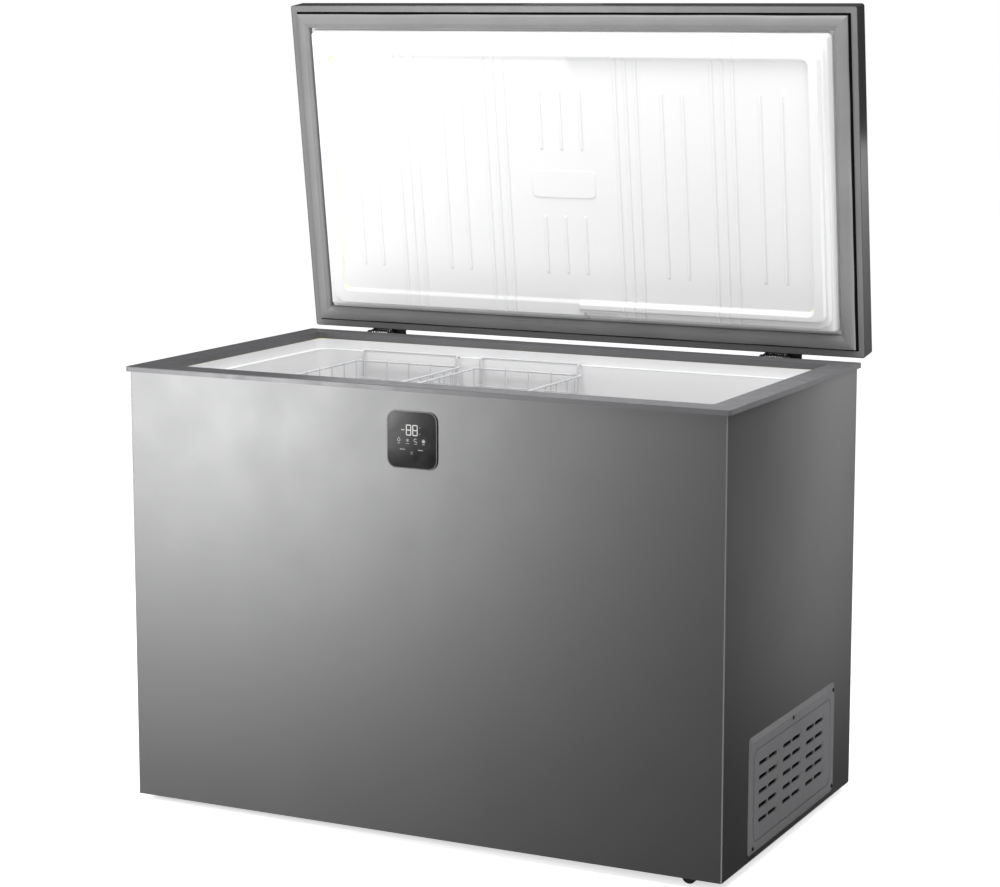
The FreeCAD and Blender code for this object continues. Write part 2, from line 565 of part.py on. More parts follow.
CONDENSER_R, CONDENSER_IN, CONDENSER_BEND, CONDENSER_HALF = 2.8, 3.2, 20.0, 520.0
CONDENSER_LOW, CONDENSER_PITCH, CONDENSER_RUNS = 255.0, 55.0, 7
EVAPORATOR_R, EVAPORATOR_OUT, EVAPORATOR_BEND = 4.0, 4.5, 28.0
EVAPORATOR_LOW, EVAPORATOR_PITCH, EVAPORATOR_TURNS = 330.0, 62.0, 6
CLIMB_START, CLIMB_END, TAIL = 130.0, 190.0, 60.0


def condenser_tube():
    """One long run folded up and down inside the front panel."""
    y = SHEET + GAP + CONDENSER_IN
    left, right = -CONDENSER_HALF, CONDENSER_HALF
    levels = [CONDENSER_LOW + CONDENSER_PITCH * i for i in range(CONDENSER_RUNS)]
    route = [(left, y, levels[0])]
    for i, z in enumerate(levels):
        end = right if i % 2 == 0 else left
        route.append((end, y, z))
        if i + 1 < len(levels):
            route.append((end, y, levels[i + 1]))
    return tube(route, CONDENSER_BEND, CONDENSER_R)


def evaporator_tube():
    """One long run wound round the outside of the liner, rising a little on its rear leg."""
    reach = LINER_T + GAP + EVAPORATOR_OUT
    x = MOUTH_X - LEDGE_IN + reach
    y0, y1 = MOUTH_Y0 + LEDGE_IN - reach, MOUTH_Y1 - LEDGE_IN + reach
    route = [(-x + TAIL, y1, EVAPORATOR_LOW)]
    for turn in range(EVAPORATOR_TURNS):
        z = EVAPORATOR_LOW + turn * EVAPORATOR_PITCH
        route += [(-x, y1, z), (-x, y0, z), (x, y0, z), (x, y1, z)]
        if turn + 1 < EVAPORATOR_TURNS:
            route += [(x - CLIMB_START, y1, z), (x - CLIMB_END, y1, z + EVAPORATOR_PITCH)]
    return tube(route, EVAPORATOR_BEND, EVAPORATOR_R)


# ---------------------------------------------------------------- drain and cord gland
DRAIN_X, DRAIN_Y, DRAIN_R = -440.0, 110.0, 11.0
DRAIN_WALL, DRAIN_BELOW = 2.0, 8.0
PLUG_LAP, PLUG_T, PLUG_STEM_R, PLUG_STEM_L, PLUG_STEM_IN = 5.0, 3.0, 8.7, 15.0, 14.0
GRIP_HALF_W, GRIP_HALF_T, GRIP_TOP = 9.0, 2.0, 14.0
GLAND_X, GLAND_Z, GLAND_R = 440.0, 40.0, 9.0
GLAND_IN, SLEEVE_IN, SLEEVE_L, GLAND_RIM, GLAND_RIM_T = 5.0, 8.0, 12.0, 4.0, 3.0
CORD_R = 4.0


def drain_tube():
    z0, z1 = BASE_Z - DRAIN_BELOW, LINER_FLOOR - LINER_T - GAP
    pipe = cyl(DRAIN_R, (DRAIN_X, DRAIN_Y, z0), Z_AXIS, z1 - z0)
    return pipe.cut(cyl(DRAIN_R - DRAIN_WALL, (DRAIN_X, DRAIN_Y, 0), Z_AXIS, LINER_FLOOR))


def drain_plug():
    """The pull-out plug in the cavity floor."""
    flange = cyl(DRAIN_R + PLUG_LAP, (DRAIN_X, DRAIN_Y, LINER_FLOOR + GAP), Z_AXIS, PLUG_T)
    stem = cyl(PLUG_STEM_R, (DRAIN_X, DRAIN_Y, LINER_FLOOR - PLUG_STEM_IN), Z_AXIS, PLUG_STEM_L)
    grip = box(DRAIN_X - GRIP_HALF_W, DRAIN_X + GRIP_HALF_W, DRAIN_Y - GRIP_HALF_T, DRAIN_Y + GRIP_HALF_T,
               LINER_FLOOR + PLUG_T, LINER_FLOOR + GRIP_TOP)
    return flange.multiFuse([stem, grip]).removeSplitter()


def cord_gland():
    """The bushed inlet in the back panel for the mains cord."""
    sleeve = cyl(GLAND_R, (GLAND_X, BODY_D - SLEEVE_IN, GLAND_Z), Y_AXIS, SLEEVE_L)
    collar = cyl(GLAND_R + GLAND_RIM, (GLAND_X, BODY_D + GAP, GLAND_Z), Y_AXIS, GLAND_RIM_T)
    bore = cyl(CORD_R, (GLAND_X, BODY_D - 2 * SLEEVE_L, GLAND_Z), Y_AXIS, 4 * SLEEVE_L)
    return sleeve.fuse(collar).cut(bore)


# ---------------------------------------------------------------- castors
BRACKET_T, BRACKET_HALF_W, BRACKET_GAP, BRACKET_LOW = 2.0, 30.0, 0.8, 6.0
CHEEK_HALF_TOP, CHEEK_HALF_LOW = 15.0, 6.0
CASTOR_SCREW_X, CASTOR_SCREW_L = 22.0, 6.0
AXLE_END, WHEEL_EDGE_R = 1.2, 1.5
AXLE_Z = WHEEL_R - FLOOR_GAP


def castor_places():
    """Name, x and y of each castor's middle."""
    places = []
    for side, x, inset in (("left", -CASTOR_X, CASTOR_INSET_LEFT), ("right", CASTOR_X, CASTOR_INSET_RIGHT)):
        places.append(("front_" + side, x, inset))
        places.append(("rear_" + side, x, BODY_D - inset))
    return places


def castor_screw_places():
    return [(x + dx, y) for _, x, y in castor_places()
            for dx in (-CASTOR_SCREW_X, CASTOR_SCREW_X)]


def castor_bracket(x, y):
    gap = WHEEL_W / 2 + BRACKET_GAP
    top = BASE_Z - GAP
    low = AXLE_Z - BRACKET_LOW
    plate = box(x - BRACKET_HALF_W, x + BRACKET_HALF_W, y - gap - BRACKET_T, y + gap + BRACKET_T,
                top - BRACKET_T, top)
    cheeks = []
    for start in (y - gap - BRACKET_T, y + gap):
        outline = [(x - CHEEK_HALF_TOP, top), (x + CHEEK_HALF_TOP, top),
                   (x + CHEEK_HALF_LOW, low), (x - CHEEK_HALF_LOW, low)]
        cheeks.append(prism(outline, Y_AXIS, start, BRACKET_T))
    axle = cyl(AXLE_R + PIN_FIT, (x, y - WHEEL_W, AXLE_Z), Y_AXIS, 2 * WHEEL_W)
    shanks = [cyl(SCREW_HOLE_R, (x + dx, y, 0), Z_AXIS, 2 * BASE_Z) for dx in (-CASTOR_SCREW_X, CASTOR_SCREW_X)]
    return plate.multiFuse(cheeks).cut(Part.makeCompound([axle] + shanks)).removeSplitter()


def castor_wheel(x, y):
    wheel = cyl(WHEEL_R, (x, y - WHEEL_W / 2, AXLE_Z), Y_AXIS, WHEEL_W)
    wheel = wheel.makeFillet(WHEEL_EDGE_R, round_edges(wheel))
    return wheel.cut(cyl(WHEEL_BORE, (x, y - WHEEL_W, AXLE_Z), Y_AXIS, 2 * WHEEL_W))


def castor_axles():
    reach = WHEEL_W / 2 + BRACKET_GAP + BRACKET_T + AXLE_END
    return Part.makeCompound([cyl(AXLE_R, (x, y - reach, AXLE_Z), Y_AXIS, 2 * reach)
                              for _, x, y in castor_places()])


def castor_screws():
    z = BASE_Z - GAP - BRACKET_T
    down = Z_AXIS * -1
    return Part.makeCompound([screw(x, y, z, down, length=CASTOR_SCREW_L) for x, y in castor_screw_places()])


# ---------------------------------------------------------------- lid
FRAME_BAND, GROOVE_W, GASKET_W = 12.0, 6.0, 24.0
GASKET_H = LID_GAP - 0.4
PANEL_MARGIN = FRAME_BAND + GROOVE_W + GASKET_W + 3.0
OUTER_DROP, OUTER_SLOPE, OUTER_R = 17.5, 8.0, 12.0
BORDER_DROP, BORDER_SLOPE, BORDER_R = 25.0, 4.0, 32.0
BORDER_MARGIN_X, BORDER_MARGIN_FRONT, BORDER_MARGIN_REAR = 59.0, 56.0, 53.0
RIDGE_DROP, RIDGE_SLOPE, RIDGE_LEFT = 32.5, 5.0, 25.0
RIDGE_MARGIN_X, RIDGE_MARGIN_FRONT, RIDGE_MARGIN_REAR = 64.0, 74.0, 65.0
FIELD_DROP, FIELD_SLOPE = 22.0, 8.0
FIELD_MARGIN_X, FIELD_MARGIN_FRONT, FIELD_MARGIN_REAR = 91.0, 96.0, 86.0
LID_FIELD_R = 15.0
NOTCH_X0, NOTCH_X1, NOTCH_MARGIN, NOTCH_DEEP = 29.0, 98.0, 63.0, 4.0
RIB, RIB_PITCH, RIB_UP, RIB_SUNK = 6.0, 20.5, 1.5, 0.5
TRIPLES, TRIPLE_REACH = (-323.0, -134.0, 134.0, 323.0), 212.0
PAIRS, PAIR_REACH = (-415.0, -225.0, 225.0, 415.0), 171.0
SHORTS, SHORT_NEAR = (-41.0, 0.0, 41.0), 62.0
BADGE_HALF_W, BADGE_HALF_D, BADGE_R = 66.0, 27.0, 12.0
LID_CORNER_R, LID_INNER_R = 5.0, 4.0
FLANGE_Z0, FLANGE_Z1, TRACK_T, FLANGE_LAP = 4.2, 5.4, 2.4, 6.0
FRAME_TOP, GASKET_EDGE_R, GASKET_SEAT = 4.0, 3.0, 2.2
POCKET_T = 2.0
HANDLE_W0, HANDLE_W1, HANDLE_DEPTH = 172.0, 132.0, 16.0
HANDLE_Z0, HANDLE_Z1 = LID_Z + 7.0, LID_Z + 35.0


def lid_block(inset, z0, z1):
    half = LID_W / 2 - inset
    return box(-half, half, LID_FRONT + inset, LID_REAR - inset, z0, z1)


def handle_space(grow, y0, depth):
    """The finger pocket in the lid's front edge, a trapezoid that narrows upwards."""
    w0, w1 = HANDLE_W0 / 2 + grow, HANDLE_W1 / 2 + grow
    outline = [(-w0, HANDLE_Z0 - grow), (w0, HANDLE_Z0 - grow), (w1, HANDLE_Z1 + grow), (-w1, HANDLE_Z1 + grow)]
    return prism(outline, Y_AXIS, y0, depth)


def lid_shell():
    """The outer skin: a shallow pan with rounded edges and the handle's cut-out."""
    outer = lid_block(0, LID_Z, LID_Z + LID_H)
    outer = fillet_along(outer, LID_CORNER_R, Z_AXIS)
    outer = fillet_level(outer, LID_R, LID_Z + LID_H)
    inner = lid_block(SHEET, LID_Z - SHEET, LID_Z + LID_H - SHEET)
    inner = fillet_along(inner, LID_INNER_R, Z_AXIS)
    inner = fillet_level(inner, LID_R - SHEET, LID_Z + LID_H - SHEET)
    shell = outer.cut(inner).cut(handle_space(0, LID_FRONT - SHEET, 3 * SHEET))
    return shell.cut(Part.makeCompound(lid_screw_shanks()))


def lid_handle():
    """The moulded finger pocket set into the front edge."""
    cup = handle_space(-GAP, LID_FRONT + GAP, HANDLE_DEPTH + POCKET_T)
    return cup.cut(handle_space(-GAP - POCKET_T, LID_FRONT, HANDLE_DEPTH))


def lid_frame():
    """The moulded inner frame: an outer band, then a lower track that holds the gasket."""
    inset = SHEET + GAP
    band = lid_block(inset, LID_Z, LID_Z + FRAME_TOP)
    track_cut = lid_block(FRAME_BAND, LID_Z - SHEET, LID_Z + TRACK_T)
    opening = lid_block(PANEL_MARGIN - GAP, LID_Z - SHEET, LID_Z + LID_H)
    band = fillet_along(band, LID_INNER_R, Z_AXIS)
    return band.cut(track_cut).cut(opening)


def lid_gasket():
    """The soft magnetic seal, mitred at its corners."""
    outer = lid_block(FRAME_BAND + GROOVE_W, LID_Z - GASKET_H, LID_Z + GASKET_SEAT)
    outer = fillet_level(outer, GASKET_EDGE_R, LID_Z - GASKET_H)
    return outer.cut(lid_block(FRAME_BAND + GROOVE_W + GASKET_W, 0, 2 * LID_Z))


def notch(drop, shrink):
    """The space of the shallow notch by the hinge edge, below a level of the relief."""
    rear = LID_REAR - NOTCH_MARGIN - shrink
    floor = LID_Z - drop + NOTCH_DEEP + shrink
    return box(NOTCH_X0 - shrink, NOTCH_X1 + shrink, rear, LID_REAR, floor - LID_H, floor)


def relief_block(margins, z_base, drop, slope, radius, shrink):
    """One raised level of the relief. Margins are from the lid's sides, front edge and rear edge."""
    side, front, rear = margins
    x = LID_W / 2 - side - shrink
    y0, y1 = LID_FRONT + front + shrink, LID_REAR - rear - shrink
    return tapered(x, y0, y1, z_base, LID_Z - drop + shrink, slope, radius)


def liner_bulge(shrink):
    """The formed panel's relief: two border steps, a ridge round its right part, and a field sunk in both."""
    edge = (PANEL_MARGIN, PANEL_MARGIN, PANEL_MARGIN)
    outer = relief_block(edge, LID_Z + TRACK_T, OUTER_DROP, OUTER_SLOPE, OUTER_R, shrink)
    border_edge = (BORDER_MARGIN_X, BORDER_MARGIN_FRONT, BORDER_MARGIN_REAR)
    border = relief_block(border_edge, LID_Z - OUTER_DROP / 2, BORDER_DROP, BORDER_SLOPE, BORDER_R, shrink)
    steps = outer.cut(notch(OUTER_DROP, shrink)).fuse(border.cut(notch(BORDER_DROP, shrink)))
    ridge_edge = (RIDGE_MARGIN_X, RIDGE_MARGIN_FRONT, RIDGE_MARGIN_REAR)
    ridge = relief_block(ridge_edge, LID_Z - OUTER_DROP, RIDGE_DROP, RIDGE_SLOPE, LID_FIELD_R, shrink)
    ridge = ridge.cut(box(-LID_W, RIDGE_LEFT + shrink, 0, LID_D, 0, LID_Z))
    xf = LID_W / 2 - FIELD_MARGIN_X + shrink
    yf0, yf1 = LID_FRONT + FIELD_MARGIN_FRONT - shrink, LID_REAR - FIELD_MARGIN_REAR + shrink
    depth = RIDGE_DROP - FIELD_DROP
    wide = FIELD_SLOPE + shrink
    low = LID_Z - FIELD_DROP + shrink
    field = tapered(xf + wide, yf0 - wide, yf1 + wide, low - depth - 1, low, wide, LID_FIELD_R)
    return steps.fuse(ridge).cut(field)


def liner_ribs():
    """Raised lines on the field: four sets of three long ribs, four pairs, and short ribs in the middle."""
    middle = (LID_FRONT + LID_REAR) / 2
    top, base = LID_Z - FIELD_DROP + RIB_SUNK, LID_Z - FIELD_DROP - RIB_UP
    ribs = []

    def rib(x, y0, y1):
        ribs.append(box(x - RIB / 2, x + RIB / 2, y0, y1, base, top))

    for x in TRIPLES:
        for dx in (-RIB_PITCH, 0, RIB_PITCH):
            rib(x + dx, middle - TRIPLE_REACH, middle + TRIPLE_REACH)
    for x in PAIRS:
        for dx in (-RIB_PITCH, RIB_PITCH):
            rib(x + dx, middle - PAIR_REACH, middle + PAIR_REACH)
    for x in SHORTS:
        rib(x, middle - PAIR_REACH, middle - SHORT_NEAR)
        rib(x, middle + SHORT_NEAR, middle + PAIR_REACH)
    badge = box(-BADGE_HALF_W, BADGE_HALF_W, middle - BADGE_HALF_D, middle + BADGE_HALF_D, base, top)
    ribs.append(fillet_along(badge, BADGE_R, Z_AXIS))
    return ribs


def lid_liner():
    shell = liner_bulge(0).cut(liner_bulge(LINER_T))
    inside = lid_block(PANEL_MARGIN + LINER_T, LID_Z, LID_Z + LID_H)
    lap = FRAME_BAND + GROOVE_W + GASKET_W - FLANGE_LAP
    flange = lid_block(lap, LID_Z + FLANGE_Z0, LID_Z + FLANGE_Z1).cut(inside)
    rise = lid_block(PANEL_MARGIN, LID_Z + TRACK_T, LID_Z + FLANGE_Z1).cut(inside)
    return shell.multiFuse([flange, rise] + liner_ribs()).removeSplitter()


def lid_foam():
    inset = SHEET + GAP
    top = LID_Z + LID_H - SHEET - 2 * GAP
    core = fillet_along(lid_block(inset, LID_Z + FLANGE_Z1 + GAP, top), LID_INNER_R, Z_AXIS)
    core = fillet_level(core, LID_R, top)
    plug = lid_block(PANEL_MARGIN + LINER_T + GAP, LID_Z + TRACK_T, LID_Z + LID_H / 2)
    pocket = handle_space(GAP, LID_FRONT, HANDLE_DEPTH + POCKET_T + 2 * GAP)
    screws = Part.makeCompound(lid_screw_shanks())
    return core.multiFuse([plug, liner_bulge(LINER_T + GAP)]).cut(pocket).cut(screws)


# ---------------------------------------------------------------- hinges
BOSS_R = 6.5
HOLE_IN = 12.0             # depth of the screw holes behind the sheet
EAR_T = 2.5
EARS = (-36.0, 15.0)        # left face of each cabinet ear, from the hinge's middle
KNUCKLES = (-32.0, 11.0)    # left face of each lid knuckle
PLATE_T = 2.5
WEB_REACH, WEB_UP, WEB_T = 5.5, 10.4, 1.8    # the web that joins the lid knuckles over the spring
BASE_SCREWS = [(dx, z) for dx in (-22.0, 22.0) for z in (698.0, 724.0)]
ARM_SCREWS = [(dx, LID_Z + dz) for dx in (-20.0, 24.0) for dz in (13.0, 29.0)]


def hinge_places():
    return (("left", -HINGE_X), ("right", HINGE_X))


def hinge_screw_shanks():
    places = [(x + dx, BODY_D - HOLE_IN, z) for _, x in hinge_places() for dx, z in BASE_SCREWS]
    return [cyl(SCREW_HOLE_R, place, Y_AXIS, 2 * SCREW_L) for place in places]


def lid_screw_shanks():
    places = [(x + dx, LID_REAR - HOLE_IN, z) for _, x in hinge_places() for dx, z in ARM_SCREWS]
    return [cyl(SCREW_HOLE_R, place, Y_AXIS, 2 * SCREW_L) for place in places]


def pin_hole(x, radius):
    return cyl(radius, (x - 2 * BASE_HALF_W, HINGE_Y, HINGE_Z), X_AXIS, 4 * BASE_HALF_W)


def ear(start, foot_y, foot_low, foot_high, throat):
    """A cheek plate that runs from its foot to a round boss on the pin."""
    boss = cyl(BOSS_R, (start, HINGE_Y, HINGE_Z), X_AXIS, EAR_T)
    outline = [(foot_y, foot_low), (HINGE_Y + BOSS_R, throat), (HINGE_Y + BOSS_R, HINGE_Z),
               (HINGE_Y - BOSS_R, HINGE_Z), (HINGE_Y - BOSS_R, foot_high), (foot_y, foot_high)]
    return prism(outline, X_AXIS, start, EAR_T).fuse(boss)


BASE_HALF_W, BASE_LOW, BASE_HIGH, BASE_R = 36.0, 686.0, 758.0, 5.0
EAR_LOW, EAR_HIGH, EAR_THROAT = 700.0, 757.0, 740.0
REST_LEFT, REST_RIGHT, REST_LAP = -31.0, -22.0, 2.0
ARM_LEFT, ARM_RIGHT, ARM_LOW, ARM_HIGH, ARM_R = -32.0, 38.0, 3.0, 38.0, 4.0
ARM_NECK, ARM_THROAT, LIP_LEFT, LIP_OUT = 6.0, 20.0, 11.0, 9.0
ARM_FIT = 0.05              # clearance of the pin in the knuckles that turn on it


def hinge_base(x):
    """The plate on the cabinet's back with two ears that reach up behind the collar."""
    y0 = BODY_D + GAP
    plate = box(x - BASE_HALF_W, x + BASE_HALF_W, y0, y0 + PLATE_T, BASE_LOW, BASE_HIGH)
    plate = fillet_along(plate, BASE_R, Y_AXIS)
    ears = [ear(x + dx, y0, EAR_LOW, EAR_HIGH, EAR_THROAT) for dx in EARS]
    rest = box(x + REST_LEFT, x + REST_RIGHT, y0, HINGE_Y + SPRING_R + REST_LAP,
               SPRING_REST_Z - PLATE_T, SPRING_REST_Z)
    whole = plate.multiFuse(ears + [rest]).cut(pin_hole(x, PIN_R + PIN_FIT))
    return whole.cut(Part.makeCompound(hinge_screw_shanks())).removeSplitter()


def hinge_arm(x):
    """The plate on the lid's rear edge with two knuckles that hang on the pin."""
    y0 = LID_REAR + GAP
    plate = box(x + ARM_LEFT, x + ARM_RIGHT, y0, y0 + PLATE_T, LID_Z + ARM_LOW, LID_Z + ARM_HIGH)
    plate = fillet_along(plate, ARM_R, Y_AXIS, lambda c: c.z > LID_Z + ARM_THROAT)
    knuckles = []
    for dx in KNUCKLES:
        boss = cyl(BOSS_R, (x + dx, HINGE_Y, HINGE_Z), X_AXIS, EAR_T)
        outline = [(HINGE_Y - BOSS_R, HINGE_Z), (HINGE_Y + BOSS_R, HINGE_Z),
                   (HINGE_Y + BOSS_R - 1, LID_Z + ARM_NECK), (y0 + PLATE_T, LID_Z + ARM_THROAT),
                   (y0, LID_Z + ARM_THROAT), (y0, LID_Z + ARM_LOW), (HINGE_Y - BOSS_R, LID_Z)]
        knuckles.append(prism(outline, X_AXIS, x + dx, EAR_T).fuse(boss))
    lip = box(x + LIP_LEFT, x + ARM_RIGHT, y0, y0 + LIP_OUT, LID_Z + ARM_LOW, LID_Z + ARM_LOW + PLATE_T)
    web = box(x + KNUCKLES[0], x + KNUCKLES[1] + EAR_T, HINGE_Y - WEB_REACH, HINGE_Y + WEB_REACH,
              HINGE_Z + WEB_UP, HINGE_Z + WEB_UP + WEB_T)
    whole = plate.multiFuse(knuckles + [lip, web]).cut(pin_hole(x, PIN_R + ARM_FIT))
    return whole.cut(Part.makeCompound(lid_screw_shanks())).removeSplitter()


PIN_LEFT, PIN_L = -38.0, 58.0
PIN_HEAD_LEFT, PIN_HEAD_R, PIN_HEAD_T = -38.2, 4.8, 2.0
PIN_TAIL_LEFT, PIN_TAIL_R, PIN_TAIL_T = 17.7, 4.2, 2.3


def hinge_pin(x):
    """The pin with a flat head at one end and a peened collar at the other."""
    pin = cyl(PIN_R, (x + PIN_LEFT, HINGE_Y, HINGE_Z), X_AXIS, PIN_L)
    head = cyl(PIN_HEAD_R, (x + PIN_HEAD_LEFT, HINGE_Y, HINGE_Z), X_AXIS, PIN_HEAD_T)
    tail = cyl(PIN_TAIL_R, (x + PIN_TAIL_LEFT, HINGE_Y, HINGE_Z), X_AXIS, PIN_TAIL_T)
    return pin.multiFuse([head, tail]).removeSplitter()


SPRING_R, SPRING_WIRE, SPRING_TURNS = 5.0, 1.1, 9.0
SPRING_LEFT, SPRING_RIGHT = -27.0, 8.5
SPRING_REST_Z = 740.5       # top of the base's tab, where the spring's lower leg stands
HOOK_UP, HOOK_OUT = 8.8, 5.0


def hinge_spring(x):
    """The torsion spring round the pin, one leg down to the base's tab and one hooked over a lid knuckle."""
    start, end = x + SPRING_LEFT, x + SPRING_RIGHT
    height = end - start
    helix = Part.makeHelix(height / SPRING_TURNS, height, SPRING_R)
    helix.rotate(V(0, 0, 0), Y_AXIS, 90)
    helix.rotate(V(0, 0, 0), X_AXIS, 90)
    helix.translate(V(start, HINGE_Y, HINGE_Z))
    first = helix.Edges[0]
    origin = first.valueAt(first.FirstParameter)
    section = Part.Wire([Part.makeCircle(SPRING_WIRE, origin, first.tangentAt(first.FirstParameter))])
    coil = Part.Wire(helix.Edges).makePipeShell([section], True, True)
    back = HINGE_Y + SPRING_R
    foot = SPRING_REST_Z + GAP
    lower = cyl(SPRING_WIRE, (start, back, foot), Z_AXIS, HINGE_Z - foot)
    upper = cyl(SPRING_WIRE, (end, back, HINGE_Z), Z_AXIS, HOOK_UP)
    elbow = Part.makeSphere(SPRING_WIRE, V(end, back, HINGE_Z + HOOK_UP))
    hook = cyl(SPRING_WIRE, (end, back, HINGE_Z + HOOK_UP), X_AXIS, HOOK_OUT)
    return coil.multiFuse([lower, upper, elbow, hook])


def hinge_screws():
    y = BODY_D + GAP + PLATE_T
    places = [(x + dx, y, z) for _, x in hinge_places() for dx, z in BASE_SCREWS]
    return Part.makeCompound([screw(*place, Y_AXIS) for place in places])


def hinge_lid_screws():
    y = LID_REAR + GAP + PLATE_T
    places = [(x + dx, y, z) for _, x in hinge_places() for dx, z in ARM_SCREWS]
    return Part.makeCompound([screw(*place, Y_AXIS) for place in places])


# ---------------------------------------------------------------- baskets
def basket(x0):
    """The basket's outer form, open at the top, with a raised hanger at the front and the back."""
    x1 = x0 + BASKET_W
    low = BASKET_TOP - BASKET_DEEP
    outer = box(x0, x1, BASKET_Y0, BASKET_Y1, low, BASKET_TOP)
    outer = fillet_along(outer, BASKET_R, Z_AXIS)
    wall = BASKET_T
    inner = box(x0 + wall, x1 - wall, BASKET_Y0 + wall, BASKET_Y1 - wall, low + wall, 2 * BODY_H)
    inner = fillet_along(inner, BASKET_INNER_R, Z_AXIS)
    shell = outer.cut(inner)
    top = LEDGE_Z + GAP
    hangers = []
    front = (BASKET_Y0, BASKET_Y0 - HANGER_OUT)
    back = (BASKET_Y1 - wall, BASKET_Y1 + HANGER_OUT - HANGER_WIRE)
    for rim, bar in (front, back):
        hangers.append(box(x0 + HANGER_IN, x1 - HANGER_IN, bar, bar + HANGER_WIRE, top, top + HANGER_WIRE))
        near, far = min(rim, bar), max(rim + wall, bar + HANGER_WIRE)
        for x in (x0 + HANGER_IN, x1 - HANGER_IN - HANGER_WIRE):
            hangers.append(box(x, x + HANGER_WIRE, near, far, top, top + HANGER_WIRE))
            hangers.append(box(x, x + HANGER_WIRE, rim, rim + wall, BASKET_TOP - HANGER_LAP,
                               top + HANGER_WIRE))
    return shell.multiFuse(hangers).removeSplitter()


# ---------------------------------------------------------------- build everything
def build_cabinet():
    evaporator, condenser = evaporator_tube(), condenser_tube()
    housing_space = panel_box(HOUSING_HALF_W + GAP, HOUSING_HALF_H + GAP, 0, HOUSING_BACK + GAP)
    drain_space = cyl(DRAIN_R + GAP, (DRAIN_X, DRAIN_Y, 0), Z_AXIS, LINER_FLOOR)
    screws = Part.makeCompound([hinge_screws(), castor_screws()])
    save_cabinet("cabinet_wrapper", cabinet_wrapper())
    save_cabinet("back_panel", back_panel())
    save_cabinet("base_plate", base_plate())
    save_cabinet("top_collar", top_collar())
    save_cabinet("mouth_trim", mouth_trim())
    save_cabinet("basket_ledge", basket_ledge())
    save_cabinet("inner_liner", inner_liner())
    save_cabinet("bay_shield", bay_shield())
    save_cabinet("cabinet_foam", cabinet_foam([evaporator, condenser, housing_space, drain_space, screws]))
    save_cabinet("evaporator_tube", evaporator)
    save_cabinet("condenser_tube", condenser)
    for make in (control_bezel, control_glass, control_housing, control_board, vent_grille, grille_screws,
                 compressor, compressor_feet, compressor_grommets, compressor_bolts, start_relay, filter_drier,
                 discharge_pipe, suction_pipe, process_tube, drain_tube, drain_plug, cord_gland,
                 castor_axles, castor_screws, hinge_screws):
        save_cabinet(make.__name__, make())
    for name, x, y in castor_places():
        save_cabinet("castor_bracket_" + name, castor_bracket(x, y))
        save_cabinet("castor_wheel_" + name, castor_wheel(x, y))
    save_cabinet("basket_left", basket(BASKET_LEFT_X))
    save_cabinet("basket_middle", basket(BASKET_MIDDLE_X))
    for name, x in hinge_places():
        save_cabinet("hinge_base_" + name, hinge_base(x))
        save_cabinet("hinge_pin_" + name, hinge_pin(x))
        save_cabinet("hinge_spring_" + name, hinge_spring(x))


def build_lid():
    for make in (lid_shell, lid_handle, lid_frame, lid_gasket, lid_liner, lid_foam, hinge_lid_screws):
        save_lid(make.__name__, make())
    for name, x in hinge_places():
        save_lid("hinge_arm_" + name, hinge_arm(x))


build_cabinet()
build_lid()
print("row offset", tuple(TO_ROW), "hinge axis y, z", HINGE_Y + TO_ROW.y, HINGE_Z + TO_ROW.z)
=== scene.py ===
import json
import math
import random

import bpy
from mathutils import Matrix, Vector


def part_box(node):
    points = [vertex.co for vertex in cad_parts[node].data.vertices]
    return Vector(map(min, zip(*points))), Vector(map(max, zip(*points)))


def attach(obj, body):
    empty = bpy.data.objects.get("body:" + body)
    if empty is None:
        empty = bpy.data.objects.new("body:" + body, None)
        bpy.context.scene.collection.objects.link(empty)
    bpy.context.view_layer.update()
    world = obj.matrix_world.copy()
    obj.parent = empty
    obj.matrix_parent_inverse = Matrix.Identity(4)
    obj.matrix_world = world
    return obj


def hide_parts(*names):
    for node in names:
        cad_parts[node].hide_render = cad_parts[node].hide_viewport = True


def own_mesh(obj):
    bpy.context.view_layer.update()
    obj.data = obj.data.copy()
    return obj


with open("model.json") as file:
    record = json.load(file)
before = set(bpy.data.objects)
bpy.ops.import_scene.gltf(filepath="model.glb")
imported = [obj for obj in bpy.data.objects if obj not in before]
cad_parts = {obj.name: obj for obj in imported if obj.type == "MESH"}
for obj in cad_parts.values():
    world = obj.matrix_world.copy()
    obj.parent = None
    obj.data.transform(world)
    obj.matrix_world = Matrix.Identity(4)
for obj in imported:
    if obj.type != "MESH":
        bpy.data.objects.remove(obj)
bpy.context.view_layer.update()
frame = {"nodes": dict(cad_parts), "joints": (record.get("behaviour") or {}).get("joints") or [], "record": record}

# Looks for the chest freezer. Lengths below are millimetres in the cabinet's own frame, as in the CAD
# source: y = 0 at the front panel, z = 0 at the panels' lower edge, lid closed. cab() and lid() turn
# them into metres in the shared frame.
MM = 0.001
COLLAR_OVER = 5.0                            # how far the rim stands out past the front panel
LID_W, LID_D, LID_REAR, LID_Z = 1144.0, 632.0, 632.5, 785.0
OPEN_DEG = 82.3

FRONT_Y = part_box("top_collar")[0][1] + COLLAR_OVER * MM
LOWER_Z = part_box("cabinet_wrapper")[0][2]
HINGE = Vector(next(j for j in frame["joints"] if j["name"] == "lid_hinge")["pos_m"])
OPENED = (Matrix.Translation(HINGE) @ Matrix.Rotation(math.radians(OPEN_DEG), 4, Vector((-1, 0, 0)))
          @ Matrix.Translation(-HINGE))


def cab(x, y, z):
    return Vector((x * MM, FRONT_Y + y * MM, LOWER_Z + z * MM))


def lid(x, s, rise):
    """A lid point: s is the distance from the hinge edge, rise the height above the lid's inner face."""
    return OPENED @ cab(x, LID_REAR - s, LID_Z - rise)


